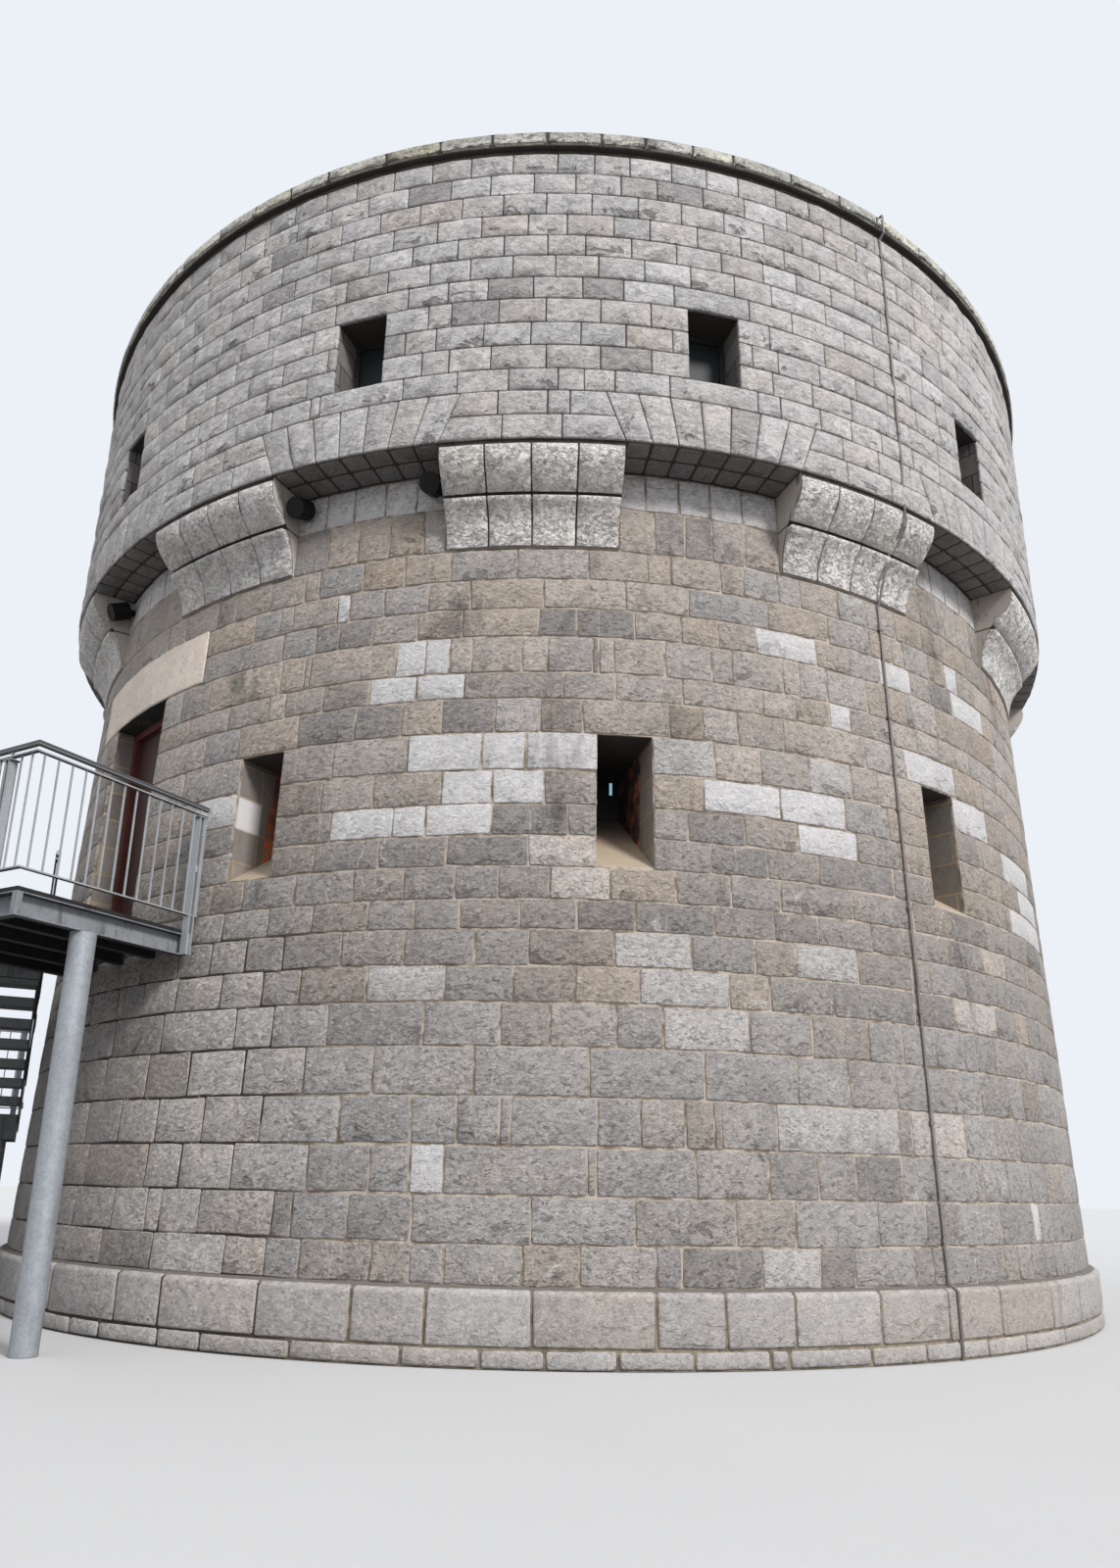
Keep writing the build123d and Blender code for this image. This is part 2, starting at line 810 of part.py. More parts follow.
with BuildPart() as guardrail_left:
    run = (guard_head - guard_turn).length
    add_bars(guard_turn, guard_head, 100, -2, baluster_spacing / 2, run - baluster_spacing)
    add_deck_post(guard_turn, guard_head, corner_post_distance)
    add_deck_post(guard_turn, guard_head, run - wall_post_distance)
    mitre(guard_turn, turn_bearing + 180)
save(guardrail_left.part, "guardrail_left")

# Stair: each flight by its nosing line, from its top end down
landing_level = deck_level - upper_risers * upper_rise
lower_rise = landing_level / lower_risers
upper_slope = upper_rise / upper_going
lower_slope = lower_rise / lower_going
upper_foot = landing_start - wall_clearance
lower_foot = landing_start - (lower_risers - 1) * lower_going
upper_head = stair_head + wall_clearance
frame_bottom = landing_level - stringer_depth + stringer_rise


def upper_line(along):
    """The level of the upper flight's nosing line."""
    return deck_level - (along - stair_head) * upper_slope


def lower_line(along):
    """The level of the lower flight's nosing line."""
    return landing_level - (landing_start - along) * lower_slope


def add_plate(offset, outline):
    """Adds a stringer plate from its outline along the stair, outwards from an offset."""
    plane = Plane(
        origin=by_stair(offset + stringer_thickness, 0), x_dir=along_stair, z_dir=-across_way
    )
    with BuildSketch(plane) as face:
        with BuildLine():
            Polyline(*outline, close=True)
        make_face()
    extrude(face.sketch, amount=stringer_thickness)


stringer_below = stringer_rise - stringer_depth
upper_outline = (
    (upper_head, deck_level),
    (stair_head + stringer_rise / upper_slope, deck_level),
    (upper_foot, upper_line(upper_foot) + stringer_rise),
    (upper_foot, upper_line(upper_foot) + stringer_below),
    (upper_head, upper_line(upper_head) + stringer_below),
)
lower_outline = (
    (upper_foot, landing_level),
    (landing_start - stringer_rise / lower_slope, landing_level),
    (lower_foot, lower_line(lower_foot) + stringer_rise),
    (lower_foot, 0),
    (landing_start - (landing_level + stringer_below) / lower_slope, 0),
    (upper_foot, lower_line(upper_foot) + stringer_below),
)
stringer_offsets = (
    (flight_inner, upper_outline),
    (flight_outer - stringer_thickness, upper_outline),
    (return_inner, lower_outline),
    (return_outer - stringer_thickness, lower_outline),
)
with BuildPart() as stair_stringers:
    for offset_across, outline in stringer_offsets:
        add_plate(offset_across, outline)
save(stair_stringers.part, "stair_stringers")

# Folded treads between the stringers
tread_length = stair_width - 2 * (stringer_thickness + wall_clearance)


def add_tread(offset, back, down, going, level):
    """Adds a tread from its back edge in the direction that the flight falls, folded at both edges."""
    near = back + down * wall_clearance
    far_edge = back + down * (going + tread_nosing)
    depth = abs(far_edge - near)
    middle = by_stair(offset + tread_length, (near + far_edge) / 2, level)
    with BuildSketch(Plane(origin=middle, x_dir=along_stair, z_dir=-across_way)) as profile:
        with Locations((0, -tread_edge / 2)):
            Rectangle(depth, tread_edge)
        with Locations((0, -tread_edge / 2 - tread_plate)):
            Rectangle(depth - 2 * tread_plate, tread_edge, mode=Mode.SUBTRACT)
    extrude(profile.sketch, amount=tread_length)


tread_inset = stringer_thickness + wall_clearance
with BuildPart() as stair_treads:
    for i in range(1, upper_risers):
        back = stair_head + upper_going * (i - 1)
        add_tread(flight_inner + tread_inset, back, 1, upper_going, deck_level - upper_rise * i)
    for i in range(1, lower_risers):
        back = landing_start - lower_going * (i - 1)
        add_tread(return_inner + tread_inset, back, -1, lower_going, landing_level - lower_rise * i)
save(stair_treads.part, "stair_treads")


def add_block(inner, outer, start, end, bottom, top, mode=Mode.ADD):
    """Adds or cuts a block between two offsets, two places along the stair and two levels."""
    middle = by_stair((inner + outer) / 2, (start + end) / 2, bottom)
    with BuildSketch(Plane(origin=middle, x_dir=across_way, z_dir=upward)) as base:
        Rectangle(outer - inner, end - start)
    extrude(base.sketch, amount=top - bottom, mode=mode)


# Half landing: a plate on a frame with one rib
web = stringer_thickness
landing_middle = (flight_outer + return_inner) / 2
with BuildPart() as half_landing:
    add_block(flight_inner, return_outer, landing_start, landing_end, frame_bottom, landing_level)
    for low, high in ((flight_inner, landing_middle - web), (landing_middle, return_outer - web)):
        add_block(
            low + web,
            high,
            landing_start + web,
            landing_end - web,
            frame_bottom,
            landing_level - deck_thickness,
            mode=Mode.SUBTRACT,
        )
save(half_landing.part, "half_landing")

with BuildPart() as landing_columns:
    for across in (flight_inner + landing_column_inset, return_outer - landing_column_inset):
        for along in (landing_start + landing_column_inset, landing_end - landing_column_inset):
            add_column(
                by_stair(across, along),
                landing_column_radius,
                landing_column_wall,
                landing_level - deck_thickness - wall_clearance,
            )
save(landing_columns.part, "landing_columns")

# Guards of the stair: one on each side of each flight and three round the landing
post_out = post_thickness / 2 + wall_clearance
flight_guards = (
    (flight_inner - post_out, stair_head, landing_start, upper_line),
    (flight_outer + post_out, stair_head, landing_start, upper_line),
    (return_inner - post_out, lower_foot, landing_start, lower_line),
    (return_outer + post_out, lower_foot, landing_start, lower_line),
)
with BuildPart() as stair_guards:
    for across, low, high, line in flight_guards:
        start = by_stair(across, low + 60, line(low + 60))
        end = by_stair(across, high - 60, line(high - 60))
        run = level_way(start, end)[1]
        add_bars(start, end, 40, 40, baluster_spacing, run - baluster_spacing)
        for distance in (30, run / 2, run - 30):
            add_stair_post(start, end, distance, stringer_depth / 2)
save(stair_guards.part, "stair_guards")

inner_line = flight_inner - post_out
outer_line = return_outer + post_out
far_line = landing_end + post_out
corner_gap = rail_radius + 1
landing_sides = (
    (by_stair(inner_line, landing_start + 30), by_stair(inner_line, far_line - corner_gap)),
    (by_stair(inner_line, far_line), by_stair(outer_line, far_line)),
    (by_stair(outer_line, landing_start + 30), by_stair(outer_line, far_line - corner_gap)),
)
with BuildPart() as landing_guards:
    for low, high in landing_sides:
        start = low + upward * landing_level
        end = high + upward * landing_level
        run = level_way(start, end)[1]
        add_bars(start, end, 0, 0, baluster_spacing, run - baluster_spacing)
        for distance in (80, run - 80):
            add_stair_post(start, end, distance, stringer_depth / 2)
save(landing_guards.part, "landing_guards")

# Lightning conductor: a flat tape that follows the tower's profile down to the ground
stand_off = conductor_stand_off + conductor_thickness / 2
roll_width = corbel_projection - corbel_roll_foot
roll_height = wall_top - corbel_nose_height - corbel_joint
roll_radius = (roll_width**2 + roll_height**2) / (2 * roll_width)
roll_centre = wall_top_radius + corbel_projection - roll_radius
roll_points = []
for angle in (0, 28, 56, 80):
    reach = roll_radius + stand_off
    roll_points.append(
        (
            roll_centre + reach * cos(radians(angle)),
            wall_top - corbel_nose_height - reach * sin(radians(angle)),
        )
    )
coping_face = drum_top_radius + coping_overhang + stand_off
tape_points = [
    (drum_inner_radius + coping_overhang, coping_top + stand_off),
    (coping_face, coping_top - coping_wash + stand_off),
    (coping_face, drum_top - stand_off),
    (drum_top_radius + stand_off, drum_top - 3 * stand_off),
    (drum_foot_radius + stand_off, arch_top),
    *roll_points,
    (wall_top_radius + corbel_lip_projection + stand_off, corbel_joint - corbel_lip_height),
    (wall_radius(corbel_bottom) + corbel_foot_projection + stand_off, corbel_bottom),
    (wall_radius(corbel_bottom) + stand_off, corbel_bottom - 2 * stand_off),
    (wall_foot_radius + stand_off, plinth_top + stand_off),
    (plinth_radius + stand_off, plinth_height),
    (plinth_radius + stand_off, 0),
]
tape_plane = Plane(
    origin=(0, 0, 0), x_dir=outward(conductor_bearing), z_dir=-onward(conductor_bearing)
)
clip_levels = []
for low, high in ((plinth_top + 300, corbel_bottom - 300), (arch_top + 300, drum_top - 300)):
    clip_count = round((high - low) / clip_spacing)
    clip_levels += [low + (high - low) * i / clip_count for i in range(clip_count + 1)]
with BuildPart() as lightning_conductor:
    with BuildLine(tape_plane) as tape_path:
        Polyline(*tape_points)
    tape_start = tape_path.line @ 0
    tape_way = tape_path.line % 0
    with BuildSketch(Plane(origin=tape_start, x_dir=onward(conductor_bearing), z_dir=tape_way)):
        Rectangle(conductor_width, conductor_thickness)
    sweep(path=tape_path.line, transition=Transition.RIGHT)
    for level in clip_levels:
        radius = wall_radius(level)
        if level > wall_top:
            share = (level - arch_top) / (drum_top - arch_top)
            radius = drum_foot_radius + (drum_top_radius - drum_foot_radius) * share
        back = radius + wall_clearance
        with BuildSketch(face_plane(back, conductor_bearing)) as clip:
            with Locations((0, level + clip_height / 2)):
                Rectangle(clip_width, clip_height)
        extrude(clip.sketch, amount=conductor_stand_off + conductor_thickness + 4)
save(lightning_conductor.part, "lightning_conductor")

# Flood lamps under the soffit, each on a bracket from the wall
lamp_wall = wall_radius(lamp_level) * cos(half_stone)
with BuildPart() as flood_lamps:
    for bearing in lamp_bearings:
        centre = place(wall_radius(lamp_level) + lamp_reach, bearing, lamp_level)
        aim = outward(bearing) * cos(radians(lamp_tilt)) - upward * sin(radians(lamp_tilt))
        back = centre - aim * (lamp_length / 2)
        with BuildSketch(Plane(origin=back, x_dir=onward(bearing), z_dir=aim)) as drum_end:
            RegularPolygon(lamp_radius, 12)
        extrude(drum_end.sketch, amount=lamp_length)
        with BuildSketch(face_plane(lamp_wall + 3 * wall_clearance, bearing)) as bracket:
            with Locations((0, lamp_level + 30)):
                Rectangle(lamp_radius / 2, lamp_radius / 2)
        extrude(bracket.sketch, amount=lamp_reach / 2)
save(flood_lamps.part, "flood_lamps")
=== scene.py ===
"""A martello tower of coursed stone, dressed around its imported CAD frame.

Metres, +Z up, origin on the tower's axis at ground level. A bearing is an angle about the
axis in degrees: 0 looks out along -Y, and it grows towards +X.
The CAD rings show between the stones as their mortar. Every stone is worked out with numpy
and stands a little proud of its ring.
"""

import bpy
import numpy as np
from mathutils import Matrix


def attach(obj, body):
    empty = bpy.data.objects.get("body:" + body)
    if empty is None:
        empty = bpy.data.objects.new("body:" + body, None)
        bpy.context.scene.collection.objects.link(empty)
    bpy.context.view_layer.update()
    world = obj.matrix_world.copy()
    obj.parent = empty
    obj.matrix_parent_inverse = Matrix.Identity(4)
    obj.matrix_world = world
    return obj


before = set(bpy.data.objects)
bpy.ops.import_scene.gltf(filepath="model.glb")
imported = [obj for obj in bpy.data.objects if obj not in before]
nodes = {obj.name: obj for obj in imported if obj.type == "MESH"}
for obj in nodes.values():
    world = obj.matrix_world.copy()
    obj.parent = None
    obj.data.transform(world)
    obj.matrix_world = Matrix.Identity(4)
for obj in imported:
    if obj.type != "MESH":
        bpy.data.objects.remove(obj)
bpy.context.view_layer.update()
scene = bpy.context.scene

# The photograph's camera, in pixels of a 1143 x 1600 frame
PHOTO_SIZE = np.array([1143, 1600])
FOCAL = 1093.81
CENTRE = np.array([561.79, 889.45])
CAMERA_PLACE = (0.579, -13.749, 1.194)
CAMERA_PITCH, CAMERA_ROLL, CAMERA_YAW = 16.246, 1.116, 2.609
SENSOR = 36.0


def aim_camera():
    """Puts the camera where the photograph was taken: it looks level along +Y, is pitched up,
    rolled about its line of sight, and then turned about +Z."""
    pitch, roll, yaw = np.radians([CAMERA_PITCH, CAMERA_ROLL, CAMERA_YAW])
    sight = np.array([0, np.cos(pitch), np.sin(pitch)])
    above = np.array([0, -np.sin(pitch), np.cos(pitch)])
    aside = np.array([1.0, 0, 0])
    right = np.cos(roll) * aside + np.sin(roll) * above
    up = -np.sin(roll) * aside + np.cos(roll) * above
    turn = np.array(
        [[np.cos(yaw), -np.sin(yaw), 0], [np.sin(yaw), np.cos(yaw), 0], [0, 0, 1]]
    )
    columns = np.stack([turn @ right, turn @ up, -(turn @ sight)], axis=1)
    data = bpy.data.cameras.new("photo_camera")
    data.sensor_width = SENSOR
    data.lens = FOCAL / PHOTO_SIZE[1] * SENSOR
    data.shift_x = (PHOTO_SIZE[0] / 2 - CENTRE[0]) / PHOTO_SIZE[1]
    data.shift_y = (CENTRE[1] - PHOTO_SIZE[1] / 2) / PHOTO_SIZE[1]
    camera = bpy.data.objects.new("photo_camera", data)
    scene.collection.objects.link(camera)
    placed = np.eye(4)
    placed[:3, :3] = columns
    placed[:3, 3] = CAMERA_PLACE
    camera.matrix_world = Matrix(placed.tolist())
    scene.camera = camera


aim_camera()


# Shader building


def add_node(tree, kind, inputs=None, **settings):
    """Adds a shader node. Its inputs are numbers, colours, or the sockets that feed them."""
    made = tree.nodes.new(kind)
    for name, value in settings.items():
        setattr(made, name, value)
    for key, value in (inputs or {}).items():
        if isinstance(value, bpy.types.NodeSocket):
            tree.links.new(value, made.inputs[key])
        else:
            made.inputs[key].default_value = value
    return made


def calculate(tree, operation, first, second=0.0, third=0.0, clamp=False):
    """One step of arithmetic on values."""
    inputs = {0: first, 1: second, 2: third}
    return add_node(tree, "ShaderNodeMath", inputs, operation=operation, use_clamp=clamp).outputs[0]


def times(tree, first, second, clamp=False):
    """The product of two values."""
    return calculate(tree, "MULTIPLY", first, second, clamp=clamp)


def plus(tree, first, second):
    """The sum of two values."""
    return calculate(tree, "ADD", first, second)


def minus(tree, first, second):
    """The first value less the second."""
    return calculate(tree, "SUBTRACT", first, second)


def line(tree, value, slope, start, clamp=False):
    """A value times a slope, plus a start."""
    return calculate(tree, "MULTIPLY_ADD", value, slope, start, clamp)


def size_of(tree, value):
    """A value without its sign."""
    return calculate(tree, "ABSOLUTE", value)


def combine(tree, operation, first, second):
    """One step of arithmetic on coordinates, axis by axis."""
    return add_node(tree, "ShaderNodeVectorMath", {0: first, 1: second}, operation=operation).outputs[0]


def facing_up(tree):
    """How far a surface faces up: 1 on a floor, 0 on a wall and -1 on an underside."""
    return along_axis(tree, add_node(tree, "ShaderNodeNewGeometry").outputs["Normal"], "Z")


def dot_product(tree, first, second):
    """How far two directions agree, times their lengths."""
    inputs = {0: first, 1: second}
    return add_node(tree, "ShaderNodeVectorMath", inputs, operation="DOT_PRODUCT").outputs["Value"]


def object_place(tree):
    """The coordinates of the piece itself, in metres."""
    return add_node(tree, "ShaderNodeTexCoord").outputs["Object"]


def along_axis(tree, vector, axis):
    """One axis of coordinates or of a direction."""
    return add_node(tree, "ShaderNodeSeparateXYZ", {"Vector": vector}).outputs[axis]


def blend_colours(tree, share, first, second):
    """The first colour, covered by the second where the share is 1."""
    return add_node(tree, "ShaderNodeMix", {0: share, 6: first, 7: second}, data_type="RGBA").outputs[2]


def stretch(tree, place, scale):
    """Coordinates whose axes are scaled one by one."""
    return combine(tree, "MULTIPLY", place, scale)


def reach(tree, place):
    """How far a place is from the axis of the tower."""
    flat = stretch(tree, place, (1, 1, 0))
    return add_node(tree, "ShaderNodeVectorMath", {0: flat}, operation="LENGTH").outputs["Value"]


def noise(tree, place, scale, detail, rough=0.55, distortion=0.0):
    """Cloudy noise from 0 to 1, with about scale clouds in a metre."""
    inputs = {"Vector": place, "Scale": scale, "Detail": detail, "Roughness": rough, "Distortion": distortion}
    return add_node(tree, "ShaderNodeTexNoise", inputs).outputs["Fac"]


def window_of(tree, value, low, high):
    """0 below the low value, 1 above the high one, and smooth between. The two may be swapped."""
    inputs = {"Value": value, "From Min": low, "From Max": high}
    return add_node(tree, "ShaderNodeMapRange", inputs, interpolation_type="SMOOTHSTEP").outputs["Result"]


def new_group(name, inputs, outputs):
    """An empty node group with named sockets. Returns its tree, what it is given and its results."""
    group = bpy.data.node_groups.new(name, "ShaderNodeTree")
    for label, kind, value in inputs:
        socket = group.interface.new_socket(label, in_out="INPUT", socket_type=kind)
        socket.default_value = value
    for label, kind in outputs:
        group.interface.new_socket(label, in_out="OUTPUT", socket_type=kind)
    return group, group.nodes.new("NodeGroupInput").outputs, group.nodes.new("NodeGroupOutput").inputs


COLOUR, VALUE = "NodeSocketColor", "NodeSocketFloat"
MID_GREY = (0.5, 0.5, 0.5)


def rgb(red, green, blue):
    """A colour with full cover."""
    return (red, green, blue, 1.0)


def bend(tree, place, scale, amount):
    """Coordinates pushed about by coloured noise, so that a pattern loses its straight lines."""
    clouds = add_node(tree, "ShaderNodeTexNoise", {"Vector": place, "Scale": scale, "Detail": 3.0})
    push = combine(tree, "SUBTRACT", clouds.outputs["Color"], MID_GREY)
    return combine(tree, "ADD", shaded(tree, push, amount), place)


def shaded(tree, colour, shade):
    """A colour made darker or lighter by a factor."""
    inputs = {0: colour, "Scale": shade}
    return add_node(tree, "ShaderNodeVectorMath", inputs, operation="SCALE").outputs[0]


def make_broken_relief():
    """Broken stone: every cell of a bent pattern is a small plane with its own lean, as a height
    in metres: lean times the way from the cell's middle, once coarse and once 2.7 times finer. The
    shade is 1 plus the contrast times the cells' own random tones."""
    group, given, result = new_group(
        "broken_relief",
        [("Scale", VALUE, 9.0), ("Flatness", VALUE, 1.5), ("Lean", VALUE, 1.0), ("Contrast", VALUE, 0.3)],
        [("Height", VALUE), ("Shade", VALUE)],
    )
    place = object_place(group)
    flat = add_node(group, "ShaderNodeCombineXYZ", {"X": 1.0, "Y": 1.0, "Z": given["Flatness"]}).outputs[0]
    place = stretch(group, bend(group, place, 13.0, 0.05), flat)
    height, shade = 0.0, 0.0
    for finer, share in ((1.0, 1.0), (2.7, 0.8)):
        scale = times(group, given["Scale"], finer)
        cells = add_node(group, "ShaderNodeTexVoronoi", {"Vector": place, "Scale": scale}).outputs
        lean = combine(group, "SUBTRACT", cells["Color"], MID_GREY)
        local = combine(group, "SUBTRACT", place, cells["Position"])
        plane = dot_product(group, lean, local)
        height = line(group, plane, share, height)
        tone = add_node(group, "ShaderNodeSeparateColor", {"Color": cells["Color"]}).outputs[2]
        shade = line(group, minus(group, tone, 0.5), share, shade)
    group.links.new(times(group, height, given["Lean"]), result["Height"])
    group.links.new(line(group, shade, given["Contrast"], 1.0), result["Shade"])
    return group


VEIN_PALE = rgb(0.62, 0.6, 0.57)


def chisel_strokes(group, place, scale):
    """Short chisel strokes that lie along the course, and the creases between them, darkened as painted
    shade: a crease is 0 where the strokes are near their middle value, 1 elsewhere, and 1 outside some
    clouds."""
    flattened = stretch(group, bend(group, place, 9.0, 0.06), (1, 1, 2.1))
    strokes = noise(group, flattened, scale, 5, 0.6, 0.5)
    crease = size_of(group, line(group, strokes, 2.0, -1.0))
    crease = window_of(group, crease, 0.0, 0.08)
    near = window_of(group, noise(group, place, 6.0, 2), 0.35, 0.6)
    return strokes, line(group, minus(group, crease, 1.0), near, 1.0)


def pits_and_hollows(group, place, variety):
    """Small pits, and broad hollows that the face darkens as painted shade: noise above a limit,
    which is lower near the foot of a stone and on a stone of more variety."""
    pits = window_of(group, noise(group, place, 42.0, 2, 0.5, 0.6), 0.63, 0.72)
    hollow = noise(group, stretch(group, place, (1, 1, 1.6)), 5.5, 5, 0.62, 0.9)
    rise = add_node(group, "ShaderNodeAttribute", attribute_name="stone_rise").outputs["Fac"]
    low = window_of(group, rise, 0.7, 0.2)
    limit = line(group, low, -0.11, line(group, variety, -0.14, 0.79))
    return pits, window_of(group, minus(group, hollow, limit), 0.0, 0.07)


def pale_veins(group, place):
    """Thin upright veins along the borders of bent cells, only inside some clouds."""
    inputs = {"Vector": stretch(group, bend(group, place, 5.0, 0.1), (1, 1, 0.2)), "Scale": 2.6}
    border = add_node(group, "ShaderNodeTexVoronoi", inputs, feature="DISTANCE_TO_EDGE")
    vein = window_of(group, border.outputs["Distance"], 0.009, 0.003)
    return times(group, vein, window_of(group, noise(group, place, 1.9, 3), 0.54, 0.62))


def make_stone_face():
    """The face of a stone: its own tone, clouds, grain, strokes, stains, veins and smeared edges, with
    painted shade in its creases, pits and hollows. The height is in metres. Calm is 1 on old stones and less
    on new ones, which are plainer."""
    group, given, result = new_group(
        "stone_face",
        [
            ("Grey", COLOUR, rgb(0.4, 0.4, 0.4)),
            ("Tan", COLOUR, rgb(0.4, 0.3, 0.2)),
            ("New", COLOUR, rgb(0.6, 0.6, 0.6)),
            ("Dark", COLOUR, rgb(0.1, 0.1, 0.1)),
            ("Smear", COLOUR, rgb(0.4, 0.35, 0.3)),
            ("Strokes", VALUE, 26.0),
            ("Creases", VALUE, 0.45),
            ("Depth", VALUE, 0.006),
            ("Veins", VALUE, 0.5),
            ("Stains", VALUE, 0.5),
            ("Hollows", VALUE, 0.3),
            ("Edge Smear", VALUE, 0.5),
        ],
        [("Color", COLOUR), ("Height", VALUE), ("Roughness", VALUE), ("Calm", VALUE)],
    )
    tone = add_node(group, "ShaderNodeAttribute", attribute_name="stone_tone")
    edge = add_node(group, "ShaderNodeAttribute", attribute_name="stone_edge").outputs["Fac"]
    parts = add_node(group, "ShaderNodeSeparateColor", {"Color": tone.outputs["Color"]}).outputs
    variety = tone.outputs["Alpha"]
    place = object_place(group)
    # the base: from grey to tan by the stone's warmth, clouds and mottling, or the new stone
    clouds = noise(group, place, 2.3, 4)
    mottling = noise(group, place, 15.0, 5, 0.65)
    grain = noise(group, place, 95.0, 3, 0.6)
    warm = line(group, clouds, 0.55, minus(group, parts[1], 0.275))
    warm = line(group, mottling, 0.45, minus(group, warm, 0.225), clamp=True)
    colour = blend_colours(group, warm, given["Grey"], given["Tan"])
    colour = blend_colours(group, parts[2], colour, given["New"])
    # the shade: mottling, grain, strokes, and painted shade in the creases, flattened by the calm, times the
    # tone
    strokes, crease = chisel_strokes(group, place, given["Strokes"])
    shade = line(group, mottling, 0.4, 0.8)
    shade = times(group, shade, line(group, grain, 0.5, 0.75))
    shade = times(group, shade, line(group, strokes, 0.4, 0.8))
    loss = minus(group, 1.0, crease)
    shade = times(group, shade, minus(group, 1.0, times(group, loss, given["Creases"])))
    calm = line(group, parts[2], -0.42, 1.0)
    shade = line(group, minus(group, shade, 1.0), calm, 1.0)
    shade = times(group, shade, parts[0])
    shade = times(group, shade, line(group, clouds, 0.3, 0.85))
    colour = shaded(group, colour, shade)
    # stains that run down, more on some stones than on others
    flow = noise(group, stretch(group, place, (1, 1, 0.4)), 1.7, 6, 0.65, 0.7)
    stain = times(group, window_of(group, flow, 0.56, 0.74), given["Stains"])
    stain = times(group, stain, line(group, variety, 1.3, 0.35), clamp=True)
    colour = blend_colours(group, stain, colour, given["Dark"])
    # painted shade in pits and hollows, then pale veins, then mortar smeared over the edges
    pits, hollow = pits_and_hollows(group, place, variety)
    dark = times(group, hollow, given["Hollows"])
    dark = times(group, line(group, pits, 0.35, dark, clamp=True), calm)
    colour = blend_colours(group, dark, colour, given["Dark"])
    vein = times(group, pale_veins(group, place), given["Veins"])
    colour = blend_colours(group, vein, colour, VEIN_PALE)
    smear = times(group, edge, window_of(group, noise(group, place, 11.0, 4), 0.38, 0.62))
    smear = times(group, smear, given["Edge Smear"], clamp=True)
    colour = blend_colours(group, smear, colour, given["Smear"])
    group.links.new(colour, result["Color"])
    # the height: strokes and grain, creases and pits a little lower, hollows a lot
    height = line(group, strokes, 1.6, times(group, grain, 0.35))
    height = line(group, crease, 0.25, height)
    height = line(group, pits, -0.4, height)
    height = line(group, hollow, -1.5, height)
    height = times(group, height, calm)
    group.links.new(times(group, height, given["Depth"]), result["Height"])
    group.links.new(calm, result["Calm"])
    group.links.new(line(group, mottling, 0.16, 0.78), result["Roughness"])
    return group


def make_mortar_fill():
    """Mortar: sand covered by dirt in some clouds, with a fine grain."""
    group, given, result = new_group(
        "mortar_fill",
        [
            ("Sand", COLOUR, rgb(0.4, 0.34, 0.27)),
            ("Dirt", COLOUR, rgb(0.08, 0.07, 0.06)),
            ("Dirt Share", VALUE, 0.5),
        ],
        [("Color", COLOUR), ("Height", VALUE)],
    )
    place = object_place(group)
    clouds = noise(group, place, 5.5, 6, 0.72)
    sand = noise(group, place, 120.0, 3)
    dirt = window_of(group, clouds, 0.42, 0.6)
    dirt = times(group, dirt, given["Dirt Share"], clamp=True)
    colour = blend_colours(group, dirt, given["Sand"], given["Dirt"])
    shade = line(group, sand, 0.5, 0.75)
    group.links.new(shaded(group, colour, shade), result["Color"])
    group.links.new(plus(group, sand, clouds), result["Height"])
    return group


def make_block_reveal():
    """Blocks on the side of an opening, laid by level and by distance from the axis."""
    group, given, result = new_group(
        "block_reveal",
        [
            ("Stone", COLOUR, rgb(0.4, 0.4, 0.4)),
            ("Other Stone", COLOUR, rgb(0.3, 0.3, 0.3)),
            ("Mortar", COLOUR, rgb(0.4, 0.3, 0.2)),
            ("Length", VALUE, 0.4),
            ("Course", VALUE, 0.3),
            ("Joint", VALUE, 0.012),
        ],
        [("Color", COLOUR), ("Height", VALUE)],
    )
    place = object_place(group)
    level = along_axis(group, place, "Z")
    laid = add_node(group, "ShaderNodeCombineXYZ", {"X": reach(group, place), "Y": level}).outputs[0]
    bricks = add_node(
        group,
        "ShaderNodeTexBrick",
        {
            "Vector": laid,
            "Color1": given["Stone"],
            "Color2": given["Other Stone"],
            "Mortar": given["Mortar"],
            "Scale": 1.0,
            "Mortar Size": given["Joint"],
            "Mortar Smooth": 0.2,
            "Brick Width": given["Length"],
            "Row Height": given["Course"],
        },
    )
    mottling = noise(group, place, 17.0, 5, 0.65)
    shade = line(group, mottling, 0.7, 0.65)
    group.links.new(shaded(group, bricks.outputs["Color"], shade), result["Color"])
    height = line(group, bricks.outputs["Fac"], -1.0, times(group, mottling, 0.6))
    group.links.new(height, result["Height"])
    return group


